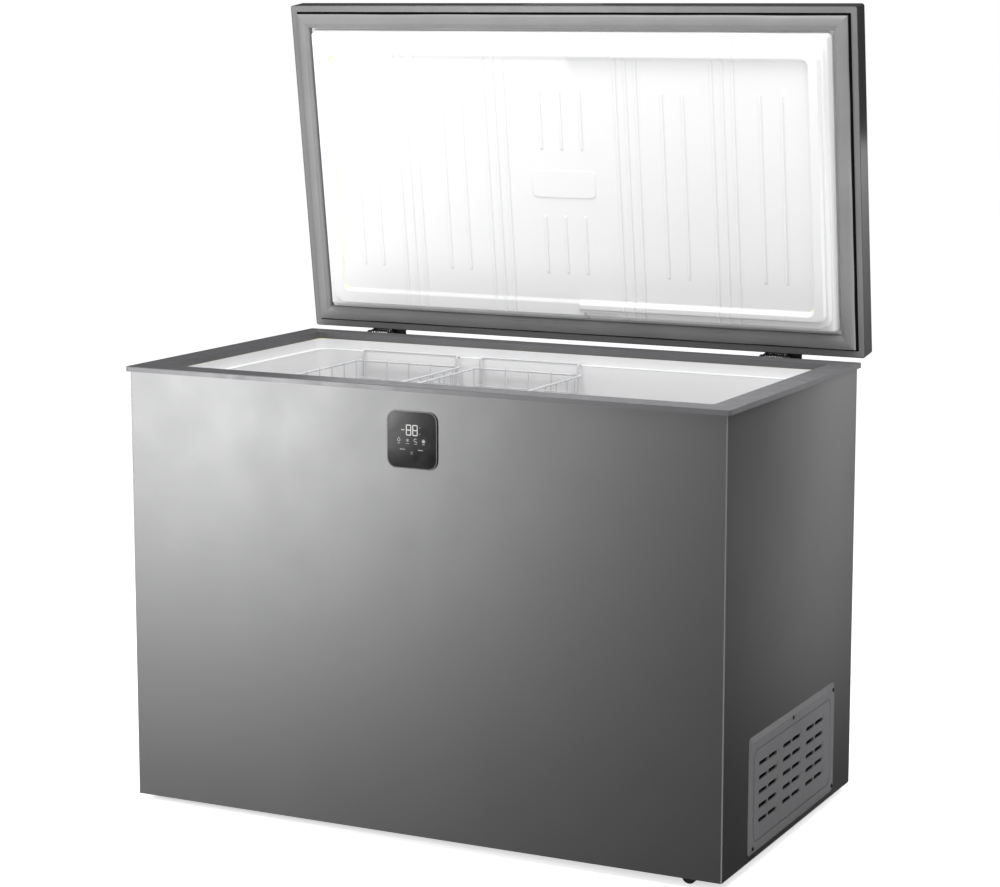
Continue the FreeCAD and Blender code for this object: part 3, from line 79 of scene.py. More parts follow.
# ---------------------------------------------------------------- materials
NOISE_LOW, NOISE_HIGH = 0.3, 0.7             # most of a noise texture's values lie between these
MIX_A, MIX_B, MIX_OUT = 6, 7, 2              # the Mix node's colour sockets


class Look:
    """One procedural material around a Principled shader, in object coordinates."""

    def __init__(self, name, rough, metallic=0.0, **sockets):
        self.material = bpy.data.materials.new(name)
        self.material.use_nodes = True
        self.tree = self.material.node_tree
        self.shader = self.tree.nodes["Principled BSDF"]
        self.shader.inputs["Metallic"].default_value = metallic
        self.shader.inputs["Roughness"].default_value = rough
        for key, value in sockets.items():
            self.shader.inputs[key.replace("_", " ")].default_value = value
        self.coords = self.tree.nodes.new("ShaderNodeTexCoord")
        self.place = self.coords.outputs["Object"]
        self.normal = None

    def node(self, kind, **values):
        made = self.tree.nodes.new(kind)
        for key, value in values.items():
            if key in made.inputs:
                made.inputs[key].default_value = value
            else:
                setattr(made, key, value)
        return made

    def link(self, a, b):
        self.tree.links.new(a, b)

    def scaled(self, stretch):
        if stretch is None:
            return self.place
        mapping = self.node("ShaderNodeMapping")
        mapping.inputs["Scale"].default_value = stretch
        self.link(self.place, mapping.inputs["Vector"])
        return mapping.outputs["Vector"]

    def noise(self, scale, detail=4.0, stretch=None, roughness=0.55):
        made = self.node("ShaderNodeTexNoise", Scale=scale, Detail=detail, Roughness=roughness)
        self.link(self.scaled(stretch), made.inputs["Vector"])
        return made.outputs["Fac"]

    def cells(self, scale, feature="F1"):
        made = self.node("ShaderNodeTexVoronoi", feature=feature, Scale=scale)
        self.link(self.place, made.inputs["Vector"])
        return made

    def ramp(self, fac, low, high, start=NOISE_LOW, end=NOISE_HIGH):
        made = self.node("ShaderNodeValToRGB")
        for element, at, color in zip(made.color_ramp.elements, (start, end), (low, high)):
            element.position = at
            element.color = (*color, 1.0)
        self.link(fac, made.inputs["Fac"])
        return made.outputs["Color"]

    def color(self, fac, low, high, start=NOISE_LOW, end=NOISE_HIGH):
        self.link(self.ramp(fac, low, high, start, end), self.shader.inputs["Base Color"])

    def spread(self, fac, socket, low, high, start=0.0, end=1.0):
        """Drive a shader value from low to high as fac goes from start to end."""
        made = self.node("ShaderNodeMapRange")
        for key, value in (("From Min", start), ("From Max", end), ("To Min", low), ("To Max", high)):
            made.inputs[key].default_value = value
        self.link(fac, made.inputs["Value"])
        self.link(made.outputs["Result"], self.shader.inputs[socket])

    def vary_rough(self, fac, rough, less, more):
        self.spread(fac, "Roughness", rough - less, rough + more, NOISE_LOW, NOISE_HIGH)

    def bump(self, fac, strength, distance):
        made = self.node("ShaderNodeBump", Strength=strength, Distance=distance)
        self.link(fac, made.inputs["Height"])
        if self.normal:
            self.link(self.normal, made.inputs["Normal"])
        self.normal = made.outputs["Normal"]
        self.link(self.normal, self.shader.inputs["Normal"])


def shade(color, factor):
    return tuple(min(1.0, c * factor) for c in color)


def around(color, change):
    """The two ends of a colour's variation."""
    return shade(color, 1 - change), shade(color, 1 + change)


FLAKE_SCALE, PATCH_SCALE, PEEL_SCALE, PEEL_DEEP = 900.0, 9.0, 160.0, 0.0004


def orange_peel(look, rough, peel):
    """Slow patches of gloss and the slight waviness of a sprayed or coil-coated surface."""
    look.vary_rough(look.noise(PATCH_SCALE, detail=5.0), rough, less=0.02, more=0.02)
    look.bump(look.noise(PEEL_SCALE, detail=3.0), peel, PEEL_DEEP)
    return look.material


def paint(name, color, rough, metallic, fleck=0.04, peel=0.02):
    """Painted metal with fine flakes."""
    look = Look(name, rough, metallic)
    look.color(look.noise(FLAKE_SCALE, detail=2.0), *around(color, fleck))
    return orange_peel(look, rough, peel)


# Painted highlight on the bends: where it starts, where it is full, and the metallic it drops to.
BEND_START, BEND_FULL = 0.08, 0.40           # of the product of a normal's x and y
BEND_HIGHLIGHT_METALLIC = 0.25
BLACK, WHITE = (0.0, 0.0, 0.0), (1.0, 1.0, 1.0)


def bend_highlight_paint(name, color, rough, metallic, fleck, peel, edge):
    """Painted sheet with a painted highlight on its upright bends, where its face turns from one side to the next.
    """
    look = Look(name, rough, metallic)
    flakes = look.ramp(look.noise(FLAKE_SCALE, detail=2.0), *around(color, fleck))
    split = look.node("ShaderNodeSeparateXYZ")
    look.link(look.coords.outputs["Normal"], split.inputs["Vector"])
    turned = look.node("ShaderNodeMath", operation="MULTIPLY")
    look.link(split.outputs["X"], turned.inputs[0])
    look.link(split.outputs["Y"], turned.inputs[1])
    size = look.node("ShaderNodeMath", operation="ABSOLUTE")
    look.link(turned.outputs["Value"], size.inputs[0])
    # Painted highlight: this mask picks out the bends by their object-space normals.
    highlight_mask = look.ramp(size.outputs["Value"], BLACK, WHITE, BEND_START, BEND_FULL)
    mix = look.node("ShaderNodeMix", data_type="RGBA")
    look.link(highlight_mask, mix.inputs["Factor"])
    look.link(flakes, mix.inputs[MIX_A])
    mix.inputs[MIX_B].default_value = (*edge, 1.0)
    look.link(mix.outputs[MIX_OUT], look.shader.inputs["Base Color"])
    look.spread(highlight_mask, "Metallic", metallic, BEND_HIGHLIGHT_METALLIC)
    return orange_peel(look, rough, peel)


def moulded(name, color, rough, grain=260.0, depth=0.1, vary=0.05, **sockets):
    """Moulded plastic or rubber: a fine grain with slow changes of tone."""
    look = Look(name, rough, 0.0, **sockets)
    look.color(look.noise(scale=11.0, detail=6.0), *around(color, vary))
    look.vary_rough(look.noise(scale=45.0), rough, less=0.05, more=0.05)
    look.bump(look.noise(grain, detail=3.0), depth, distance=0.0003)
    return look.material


def bare_metal(name, color, rough, spangle=0.0, stretch=(1.0, 1.0, 1.0), vary=0.12):
    """Plated, galvanised or drawn metal."""
    look = Look(name, rough, 1.0)
    if spangle:
        grey = look.node("ShaderNodeSeparateColor")
        look.link(look.cells(spangle).outputs["Color"], grey.inputs["Color"])
        look.color(grey.outputs["Red"], *around(color, vary), start=0.0, end=1.0)
        look.vary_rough(grey.outputs["Green"], rough, less=0.06, more=0.08)
    else:
        streaks = look.noise(scale=70.0, detail=5.0, stretch=stretch)
        look.color(streaks, *around(color, vary))
        look.vary_rough(streaks, rough, less=0.05, more=0.08)
    look.bump(look.noise(scale=420.0, detail=3.0, stretch=stretch), strength=0.08, distance=0.0002)
    return look.material


def embossed_white(name, color, rough):
    """White coated sheet with a shallow leathery emboss."""
    look = Look(name, rough, 0.0, Specular_IOR_Level=0.45)
    look.color(look.noise(scale=7.0, detail=5.0), shade(color, 0.975), color)
    look.vary_rough(look.noise(scale=60.0), rough, less=0.05, more=0.06)
    look.bump(look.cells(scale=190.0, feature="SMOOTH_F1").outputs["Distance"], strength=0.10, distance=0.0004)
    return look.material


def formed_white(name, color, rough):
    """Vacuum-formed sheet with a faint flow texture."""
    look = Look(name, rough, 0.0, Specular_IOR_Level=0.12)
    look.color(look.noise(scale=5.0, detail=5.0), shade(color, 0.985), color)
    flow = look.noise(scale=30.0, detail=5.0, stretch=(1.0, 1.0, 0.4))
    look.vary_rough(flow, rough, less=0.04, more=0.05)
    look.bump(look.noise(scale=340.0, detail=2.0), strength=0.035, distance=0.0002)
    return look.material


def glowing(name, low, high, scale, detail, glow, rough, **sockets):
    """A surface that gives off a little of its own colour."""
    look = Look(name, rough, 0.0, Emission_Strength=glow, **sockets)
    tone = look.ramp(look.noise(scale, detail), low, high)
    look.link(tone, look.shader.inputs["Base Color"])
    look.link(tone, look.shader.inputs["Emission Color"])
    return look.material


def lit_mark(name, color, glow):
    return glowing(name, shade(color, 0.9), color, scale=500.0, detail=2.0, glow=glow, rough=0.4)


def circuit(name):
    """Green board with paler tracks."""
    look = Look(name, rough=0.4)
    tracks = look.cells(scale=260.0, feature="DISTANCE_TO_EDGE").outputs["Distance"]
    look.color(tracks, (0.10, 0.32, 0.12), (0.02, 0.13, 0.05), start=0.02, end=0.08)
    return look.material


def foam_look(name):
    """Yellow insulating foam with open cells."""
    look = Look(name, rough=0.85)
    look.color(look.noise(scale=40.0, detail=6.0), (0.74, 0.66, 0.40), (0.86, 0.79, 0.55))
    look.bump(look.cells(scale=500.0).outputs["Distance"], strength=0.4, distance=0.0006)
    return look.material


LOOKS = {
    # edge is the colour of the painted highlight on the upright bends.
    "silver_paint": bend_highlight_paint("silver_paint", (0.285, 0.286, 0.288), rough=0.60, metallic=0.96, fleck=0.05,
                               peel=0.010, edge=(0.23, 0.23, 0.23)),
    "back_sheet": paint("back_sheet", (0.33, 0.335, 0.34), rough=0.45, metallic=0.6),
    "lid_paint": paint("lid_paint", (0.115, 0.116, 0.12), rough=0.42, metallic=0.75),
    "compressor_black": paint("compressor_black", (0.018, 0.018, 0.018), rough=0.22, metallic=0.0, fleck=0.1,
                              peel=0.12),
    "hinge_black": paint("hinge_black", (0.016, 0.016, 0.017), rough=0.34, metallic=0.2, fleck=0.1, peel=0.1),
    "black_screw": paint("black_screw", (0.03, 0.03, 0.03), rough=0.35, metallic=0.6, fleck=0.1, peel=0.1),
    "pipe_steel": paint("pipe_steel", (0.08, 0.08, 0.08), rough=0.4, metallic=0.3),
    "galvanised": bare_metal("galvanised", (0.56, 0.57, 0.58), rough=0.36, spangle=90.0),
    "zinc": bare_metal("zinc", (0.62, 0.62, 0.60), rough=0.30),
    "spring_steel": bare_metal("spring_steel", (0.82, 0.82, 0.82), rough=0.20),
    "bezel_metal": bare_metal("bezel_metal", (0.085, 0.085, 0.087), rough=0.42, stretch=(6.0, 1.0, 1.0)),
    "copper": bare_metal("copper", (0.78, 0.40, 0.25), rough=0.28),
    "pipe_aluminium": bare_metal("pipe_aluminium", (0.72, 0.72, 0.73), rough=0.32),
    "collar_plastic": moulded("collar_plastic", (0.105, 0.105, 0.11), rough=0.42, grain=300.0, depth=0.08),
    "lid_frame_plastic": moulded("lid_frame_plastic", (0.165, 0.165, 0.165), rough=0.40, grain=280.0,
                                 depth=0.07),
    "gasket": moulded("gasket", (0.205, 0.205, 0.205), rough=0.58, grain=220.0, depth=0.12, vary=0.07),
    "grille_plastic": moulded("grille_plastic", (0.140, 0.140, 0.145), rough=0.44, grain=300.0, depth=0.10),
    "black_plastic": moulded("black_plastic", (0.02, 0.02, 0.02), rough=0.45, grain=260.0, depth=0.15,
                             vary=0.1),
    "rubber": moulded("rubber", (0.022, 0.022, 0.022), rough=0.65, grain=200.0, depth=0.2, vary=0.12),
    "wheel_nylon": moulded("wheel_nylon", (0.02, 0.02, 0.02), rough=0.4, grain=240.0, depth=0.15, vary=0.1),
    "drain_plug": moulded("drain_plug", (0.80, 0.80, 0.79), rough=0.35, grain=300.0, depth=0.05, vary=0.03),
    "white_trim": moulded("white_trim", (0.74, 0.74, 0.745), rough=0.34, grain=300.0, depth=0.05, vary=0.015),
    "basket_wire": moulded("basket_wire", (0.62, 0.62, 0.63), rough=0.30, grain=300.0, depth=0.06, vary=0.03),
    "panel_glass": moulded("panel_glass", (0.012, 0.011, 0.011), rough=0.15, grain=40.0, depth=0.005,
                           vary=0.1, Specular_IOR_Level=0.12),
    "white_liner": embossed_white("white_liner", (0.84, 0.84, 0.845), rough=0.38),
    "lid_liner_plastic": formed_white("lid_liner_plastic", (0.70, 0.70, 0.705), rough=0.45),
    "circuit_board": circuit("circuit_board"),
    "foam": foam_look("foam"),
}
DIGIT_LOOK = lit_mark("display_digits", (0.42, 0.42, 0.41), glow=0.22)
ICON_LOOK = lit_mark("display_icons", (0.26, 0.26, 0.25), glow=0.20)
# Painted shade: a near-black sheet that stands in for the darkness inside the compressor bay.
BAY_PAINTED_SHADE = moulded("bay_painted_shade", (0.012, 0.012, 0.012), rough=0.7, grain=200.0, depth=0.1, vary=0.1)
# Painted shade: near-black for the gasket's outer foot, standing in for the shadow in the groove beside it.
SEAL_FOOT_SHADE = moulded("seal_foot_painted_shade", (0.004, 0.004, 0.004), rough=0.75, grain=220.0, depth=0.1, vary=0.2,
                    Specular_IOR_Level=0.1)

slot_of = {part["node"]: part["material_slot"] for part in frame["record"]["subparts"]}
for node_name, node in frame["nodes"].items():
    for material_slot in node.material_slots:
        material_slot.material = LOOKS[slot_of[node_name]]
# Painted shade: the bay shield gets a near-black sheet in place of its galvanised finish, so that the bay reads
# dark. It shows only through the grille and the back's slots, at the far side of the bay.
frame["nodes"]["bay_shield"].material_slots[0].material = BAY_PAINTED_SHADE


# ---------------------------------------------------------------- mesh helpers
def mesh_piece(name, verts, faces, look, body, smooth=True):
    mesh = bpy.data.meshes.new(name)
    mesh.from_pydata([tuple(v) for v in verts], [], faces)
    mesh.validate()
    mesh.polygons.foreach_set("use_smooth", [smooth] * len(mesh.polygons))
    mesh.materials.append(look)
    piece = bpy.data.objects.new(name, mesh)
    bpy.context.scene.collection.objects.link(piece)
    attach(piece, body)
    return piece


def strip_faces(rows, wide):
    """Quads between neighbouring points of a grid that is stored row by row."""
    return [(a, a + 1, a + 1 + wide, a + wide)
            for j in range(rows - 1) for a in range(j * wide, (j + 1) * wide - 1)]


def smooth_step(t):
    t = max(0.0, min(1.0, t))
    return t * t * (3 - 2 * t)


def inside(x, s, x0, x1, s0, s1, radius):
    """How far (x, s) lies inside a rounded rectangle, negative outside."""
    px = abs(x - (x0 + x1) / 2) - (x1 - x0) / 2 + radius
    ps = abs(s - (s0 + s1) / 2) - (s1 - s0) / 2 + radius
    return radius - math.hypot(max(px, 0.0), max(ps, 0.0)) - min(max(px, ps), 0.0)


# ---------------------------------------------------------------- the lid's formed inner panel
# x runs across the lid from its middle, s from the hinge edge. A rise is above the lid's inner face, and
# a run is the distance that a step takes. Outlines are x0, x1, s0, s1 and a corner radius.
EDGE_X, EDGE_S0, EDGE_S1 = 527.0, 45.0, 587.0
MIDDLE_S = 305.0
EDGE = (-EDGE_X, EDGE_X, EDGE_S0, EDGE_S1, 9.0)
BORDER = (-513.0, 518.0, 53.0, 576.0, 26.0)
RIDGE = (-700.0, 510.0, 66.0, 557.0, 17.0)
RECESS = (29.0, 98.0, 30.0, 63.0, 3.0)
FIELD = (-490.0, 491.0, 78.0, 544.0, 16.0)
BADGE = (-66.0, 66.0, MIDDLE_S - 27, MIDDLE_S + 27, 11.0)
LOW_RISE, OUTER_RISE, CROWN_RISE, BORDER_RISE, RIDGE_RISE, FIELD_RISE = 7.0, 17.5, 1.0, 25.0, 32.0, 22.0
RECESS_DEEP, BADGE_RISE = 4.0, 1.3
LOW_RUN, OUTER_START, OUTER_RUN, CROWN_START, CROWN_RUN = 2.0, 2.6, 4.4, 7.0, 6.0
BORDER_RUN, RIDGE_RUN, RECESS_RUN, RECESS_EDGE_RUN, FIELD_RUN, BADGE_RUN = 4.0, 4.5, 2.5, 3.2, 9.0, 2.2
RIDGE_LEFT, RIDGE_LEFT_RUN = 19.0, 5.0       # the ridge begins right of the middle

RIB_RISE, RIB_TOP, RIB_FLANK, RIB_END_RUN, RIB_PITCH = 1.9, 1.5, 1.7, 3.5, 20.5
# Each group of ribs: the middles of its sets, the offsets in a set, and the first and last s of a rib.
RIB_GROUPS = (((-323, -134, 134, 323), (-RIB_PITCH, 0, RIB_PITCH), ((50.0, 577.0),)),
              ((-415, -225, 225, 415), (-RIB_PITCH, RIB_PITCH), ((135.0, 477.0),)),
              ((-41, 0, 41), (0,), ((136.0, 244.0), (370.0, 480.0))))
RIBS = [(x + dx, s0, s1) for middles, offsets, spans in RIB_GROUPS
        for x in middles for dx in offsets for s0, s1 in spans]


def panel_rise(x, s):
    """Height of the inner panel above the lid's inner face."""
    edge = inside(x, s, *EDGE)
    # The first step stays low over the collar's inner edge, so that the shut lid clears it.
    rise = LOW_RISE * smooth_step(edge / LOW_RUN)
    rise += (OUTER_RISE - LOW_RISE) * smooth_step((edge - OUTER_START) / OUTER_RUN)
    rise += CROWN_RISE * smooth_step((edge - CROWN_START) / CROWN_RUN)
    rise += (BORDER_RISE - OUTER_RISE - CROWN_RISE) * smooth_step(inside(x, s, *BORDER) / BORDER_RUN)
    left_end = smooth_step((x - RIDGE_LEFT) / RIDGE_LEFT_RUN)
    rise += (RIDGE_RISE - BORDER_RISE) * smooth_step(inside(x, s, *RIDGE) / RIDGE_RUN) * left_end
    recess = smooth_step(inside(x, s, *RECESS) / RECESS_RUN) * smooth_step(edge / RECESS_EDGE_RUN)
    rise -= RECESS_DEEP * recess
    rise += (FIELD_RISE - rise) * smooth_step(inside(x, s, *FIELD) / FIELD_RUN)
    rise += BADGE_RISE * smooth_step(inside(x, s, *BADGE) / BADGE_RUN)
    for rib_x, s0, s1 in RIBS:
        off = abs(x - rib_x)
        if off < RIB_TOP + RIB_FLANK:
            ends = smooth_step((s - s0) / RIB_END_RUN + 0.5) * smooth_step((s1 - s) / RIB_END_RUN + 0.5)
            rise += RIB_RISE * (1 - smooth_step((off - RIB_TOP) / RIB_FLANK)) * ends
    return rise


COARSE_STEP, LEAST_STEP = 9.0, 0.35
ROOT_STEP, STEP_X, STEP_S = 0.8, 1.1, 1.0    # between grid lines near a feature
RIB_LINES = (-3.4, -2.9, -2.35, -1.8, -1.2, 0, 1.2, 1.8, 2.35, 2.9, 3.4)
RIB_END_REACH = 4.0
# Where the panel's steps are, and how far the close lines reach on each side.
ROOTS_X = ((-523, 5), (523, 5))
STEPS_X = ((-512, 8), (-486, 9), (486, 10), (508, 6), (521, 6), (22, 5), (29, 4), (98, 4), (-65, 4), (65, 4))
STEPS_S = ((45, 4), (52, 5), (61, 5), (68, 6), (83, 8), (540, 8), (555, 5), (574, 7), (587, 4),
           (MIDDLE_S - 25, 4), (MIDDLE_S + 25, 4))
FLANGE_OUT, FLANGE_UNDER, TOUCHING = 6.0, 3.0, 0.01


def near(centre, reach, step):
    count = int(reach / step)
    return [centre + i * step for i in range(-count, count + 1)]


def grid_lines(low, high, fine):
    """Sorted grid positions: a coarse spread plus the fine ones near every feature."""
    steps = int((high - low) / COARSE_STEP)
    spread = {round(low + (high - low) * i / steps, 2) for i in range(steps + 1)}
    close = {round(v, 2) for v in fine if low <= v <= high}
    kept = []
    for value in sorted(spread | close):
        if not kept or value - kept[-1] >= LEAST_STEP:
            kept.append(value)
    kept[-1] = high
    return kept


def side_of(value, low, high):
    """-1 at the low end of a span, 1 at its high end, 0 between."""
    return (value >= high - TOUCHING) - (value <= low + TOUCHING)


def lid_inner_panel():
    fine_x = [x + offset for x, _, _ in RIBS for offset in RIB_LINES]
    fine_s = [v for _, s0, s1 in RIBS for end in (s0, s1) for v in near(end, RIB_END_REACH, STEP_S)]
    for features, step, lines in ((ROOTS_X, ROOT_STEP, fine_x), (STEPS_X, STEP_X, fine_x),
                                  (STEPS_S, STEP_S, fine_s)):
        for at, reach in features:
            lines += near(at, reach, step)
    xs = grid_lines(-EDGE_X, EDGE_X, fine_x)
    ss = grid_lines(EDGE_S0, EDGE_S1, fine_s)
    wide, rows = len(xs), len(ss)
    verts = [lid(x, s, panel_rise(x, s)) for s in ss for x in xs]
    faces = strip_faces(rows, wide)
    # A flange that runs under the gasket closes the panel's foot.
    loops = [list(range(wide)), [j * wide + wide - 1 for j in range(rows)],
             [(rows - 1) * wide + i for i in reversed(range(wide))],
             [j * wide for j in reversed(range(rows))]]
    for loop in loops:
        start = len(verts)
        for index in loop:
            s, x = ss[index // wide], xs[index % wide]
            verts.append(lid(x + FLANGE_OUT * side_of(x, -EDGE_X, EDGE_X),
                             s + FLANGE_OUT * side_of(s, EDGE_S0, EDGE_S1), -FLANGE_UNDER))
        for k in range(len(loop) - 1):
            faces.append((loop[k + 1], loop[k], start + k, start + k + 1))
    piece = mesh_piece("lid_inner_panel", verts, faces, LOOKS["lid_liner_plastic"], "lid")
    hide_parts("lid_liner")


lid_inner_panel()

# ---------------------------------------------------------------- the lid's gasket
GASKET_OUT, GASKET_PROUD, GASKET_SHUT = 18.0, 12.0, 7.4
# Across the gasket from its outer edge, and height above the lid's inner face.
GASKET_SECTION = [(-5.6, -1.8), (-5.6, -1.2), (-2.4, -0.9), (-2.0, 1.5), (-0.9, 3.2), (-2.1, 4.8),
                  (-2.0, 7.0), (-0.7, 9.2), (2.2, 10.6), (6.0, 11.7), (11.0, 12.0), (15.0, 11.9),
                  (17.4, 11.2), (18.0, 10.4), (19.0, 10.3), (21.2, 9.6), (23.2, 7.4), (23.9, 4.6),
                  (22.6, 2.8), (23.6, 1.2), (23.4, -2.0)]
SHADED_FOOT_STRIPS = 4                              # strips of the section, from its outer end, that get the near-black painted shade
CORNERS = ((-1, 0), (1, 0), (1, 1), (-1, 1))
STATIONS, WAVES, SEED = 90, 12, 11
PACE, PHASE, SIZE = (0.6, 2.2), (0, 6.3), (0.05, 0.16)    # the span that each wave's values are drawn from
WAVE_TURNS, FADE_IN = 20, 12
FLANK_WAVE, FLANK_TOP = 0.5, 11              # the flanks bow in and out by this much of a wave
CROWN_WAVE, CROWN_FOOT, CROWN_DROP = 0.35, 8, 0.5


def lid_seal():
    """Four lengths of bellows profile, welded at mitred corners, each a little wavy."""
    draw = random.Random(SEED)
    waves = [[draw.uniform(*span) for span in (PACE, PHASE, SIZE)] for _ in range(WAVES)]
    verts, faces = [], []
    ring = len(GASKET_SECTION)
    for side, (start_corner, end_corner) in enumerate(zip(CORNERS, CORNERS[1:] + CORNERS[:1])):
        first = len(verts)
        for station in range(STATIONS + 1):
            t = station / STATIONS
            fade = min(1.0, FADE_IN * min(t, 1 - t))
            wave = sum(a * math.sin(f * WAVE_TURNS * t + p + side) for f, p, a in waves) * fade
            for across, rise in GASKET_SECTION:
                inset = GASKET_OUT + across + FLANK_WAVE * wave * (0 < rise < FLANK_TOP)
                (x0, s0), (x1, s1) = [(cx * (LID_W / 2 - inset), LID_D - inset if cs else inset)
                                      for cx, cs in (start_corner, end_corner)]
                lift = CROWN_WAVE * wave - CROWN_DROP if rise > CROWN_FOOT else 0.0
                verts.append(lid(x0 + (x1 - x0) * t, s0 + (s1 - s0) * t, rise + lift))
        faces += [tuple(first + i for i in face) for face in strip_faces(STATIONS + 1, ring)]
    piece = mesh_piece("lid_seal", verts, faces, LOOKS["gasket"], "lid")
    # Painted shade: the outer foot strips get the near-black material of the shaded groove.
    piece.data.materials.append(SEAL_FOOT_SHADE)
    for face in piece.data.polygons:
        face.material_index = int(face.index % (ring - 1) < SHADED_FOOT_STRIPS)
    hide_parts("lid_gasket")
    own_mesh(piece)


lid_seal()

# ---------------------------------------------------------------- wire baskets
BASKET_W, BASKET_DEEP, BASKET_TOP, BASKET_Y0, BASKET_Y1 = 226.0, 205.0, 732.0, 66.0, 561.0
LEFT_X, MIDDLE_X = -425.0, -170.0
LEDGE_Z, HANGER_OUT, HANGER_IN = 747.0, 13.0, 11.0
RIM_R, GRID_R = 2.0, 1.3                     # wire radii
RIM_BEND, RING_BEND, HANGER_BEND, ARC_STEPS = 9.0, 8.5, 4.5, 6
SHARE = 2.02                                 # a run is split between its two bends, and a little stays straight
FLOOR_RIM_UP, FLOOR_RIM_IN = 3.0, 6.0
RING_DROPS, RING_IN, RING_TAPER = (34, 72, 112, 152), 0.8, 0.2
HANGER_FOOT, CREST_UP, BAR_BACK, LEG_BACK = 30.0, 2.2, 2.0, 1.0
COLUMNS, ROWS, END_GAP = 4, 10, 18.0
GRID_IN, GRID_OVER, CROSSING = 3.0, 0.5, 2.4


def wires(name, paths, radius, body):
    """One curve object with a round wire along each path. A path is (points, closed)."""
    curve = bpy.data.curves.new(name, "CURVE")
    curve.dimensions = "3D"
    curve.bevel_depth = radius * MM
    curve.bevel_resolution = 3
    curve.use_fill_caps = True
    for points, closed in paths:
        spline = curve.splines.new("POLY")
        spline.points.add(len(points) - 1)
        for place, point in zip(spline.points, points):
            place.co = (*cab(*point), 1.0)
        spline.use_cyclic_u = closed
        spline.use_smooth = True
    curve.materials.append(LOOKS["basket_wire"])
    piece = bpy.data.objects.new(name, curve)
    bpy.context.scene.collection.objects.link(piece)
    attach(piece, body)
    return piece


def bent(points, radius, closed=False):
    """Round the corners of a path with arcs."""
    pts = [Vector(p) for p in points]
    out = []
    count = len(pts)
    for i, corner in enumerate(pts):
        if not closed and i in (0, count - 1):
            out.append(corner)
            continue
        before, after = pts[i - 1] - corner, pts[(i + 1) % count] - corner
        cut = min(radius, before.length / SHARE, after.length / SHARE)
        a, b = corner + before.normalized() * cut, corner + after.normalized() * cut
        for k in range(ARC_STEPS + 1):
            t = k / ARC_STEPS
            out.append(a * (1 - t) ** 2 + corner * 2 * t * (1 - t) + b * t ** 2)
    return [tuple(p) for p in out], closed


def wire_basket(side, x0):
    body = "basket_" + side
    x1 = x0 + BASKET_W
    top, low = BASKET_TOP - RIM_R, BASKET_TOP - BASKET_DEEP + GRID_R

    def ring(z, inset, radius):
        low_x, high_x, low_y, high_y = x0 + inset, x1 - inset, BASKET_Y0 + inset, BASKET_Y1 - inset
        return bent([(low_x, low_y, z), (high_x, low_y, z), (high_x, high_y, z), (low_x, high_y, z)],
                    radius, True)

    thick = [ring(top, RIM_R, RIM_BEND), ring(low + FLOOR_RIM_UP, RIM_R + FLOOR_RIM_IN, RIM_BEND)]
    leg0, leg1, crest = x0 + HANGER_IN, x1 - HANGER_IN, LEDGE_Z + CREST_UP
    for end, out in ((BASKET_Y0, -1), (BASKET_Y1, 1)):
        bar_y, leg_y = end + out * (HANGER_OUT - BAR_BACK), end - out * (RIM_R + LEG_BACK)
        thick.append(bent([(leg0, leg_y, top - HANGER_FOOT), (leg0, leg_y, crest), (leg0, bar_y, crest),
                           (leg1, bar_y, crest), (leg1, leg_y, crest), (leg1, leg_y, top - HANGER_FOOT)],
                          HANGER_BEND))
    frame_wires = wires("basket_%s_frame" % side, thick, RIM_R, body)

    thin = [ring(top - drop, RIM_R + RING_IN + RING_TAPER * k, RING_BEND)
            for k, drop in enumerate(RING_DROPS)]
    grid_in, grid_top = RIM_R + GRID_IN, BASKET_TOP + GRID_OVER
    y0, y1 = BASKET_Y0 + grid_in, BASKET_Y1 - grid_in
    for i in range(COLUMNS + 1):
        x = x0 + END_GAP + (BASKET_W - 2 * END_GAP) * i / COLUMNS
        thin.append(bent([(x, y0, grid_top), (x, y0, low), (x, y1, low), (x, y1, grid_top)], RIM_BEND))
    for i in range(ROWS + 1):
        y = BASKET_Y0 + END_GAP + (BASKET_Y1 - BASKET_Y0 - 2 * END_GAP) * i / ROWS
        thin.append(bent([(x0 + grid_in, y, grid_top), (x0 + grid_in, y, low + CROSSING),
                          (x1 - grid_in, y, low + CROSSING), (x1 - grid_in, y, grid_top)], RIM_BEND))
    wires("basket_%s_mesh" % side, thin, GRID_R, body)
    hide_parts(body)


wire_basket("left", LEFT_X)
wire_basket("middle", MIDDLE_X)

# ---------------------------------------------------------------- marks on the touch panel
GLASS_Y, MARK_PROUD, MARK_SUNK = -2.0, 0.16, 0.05
DIGIT_Z, DIGIT_WIDE, DIGIT_TALL, DIGIT_STROKE, SEGMENT_GAP = 703.5, 8.4, 17.0, 1.5, 0.32
DIGIT_XS = (-6.2, 6.0)
MINUS = (-19.5, DIGIT_Z, -14.5, DIGIT_Z, 1.2)
ICON_Z = 686.0
FAN_X, FAN_R, FAN_STROKE, FAN_TURNS = -8.0, 3.0, 0.8, (30, 90, 150)
SUN_X, SUN_IN, SUN_OUT, SUN_STROKE, SUN_STEP = 22.0, 3.2, 4.1, 0.5, 45
# Centre, radius, first and last angle, stroke and pieces: a drop's round foot, an open ring and a filled dot.
ARCS = ((-25, ICON_Z, 2.4, 130, 410, 0.9, 14), (6.2, 687, 2.4, 20, 300, 0.9, 12),
        (SUN_X, ICON_Z, 1.3, 0, 360, 2.6, 14))
# Straight strokes x0, z0, x1, z1 and width: the drop's point, the ring's tail and small ticks.
STROKES = ((-26.6, 688.0, -25, 690.4, 0.8), (-23.4, 688.0, -25, 690.4, 0.8), (7.5, 684.5, 10, 683.2, 1.0),
           (-2.4, 666.4, 1.8, 666.4, 0.6), (-2.4, 663.4, 1.8, 663.4, 0.6), (14.5, 708, 15.8, 709.6, 0.7),
           (14.5, 697.2, 15.8, 698.8, 0.7))
# Rows of underlines: their middles, height, half length and width.
UNDERLINES = (((-25, -8, 7, 22), 680.5, 2.6, 0.7), ((-18, 16), 670.5, 4.6, 1.0))
TIP, SHOULDER = 0.9, 0.2                     # of half the stroke: its pointed end, and where the point starts


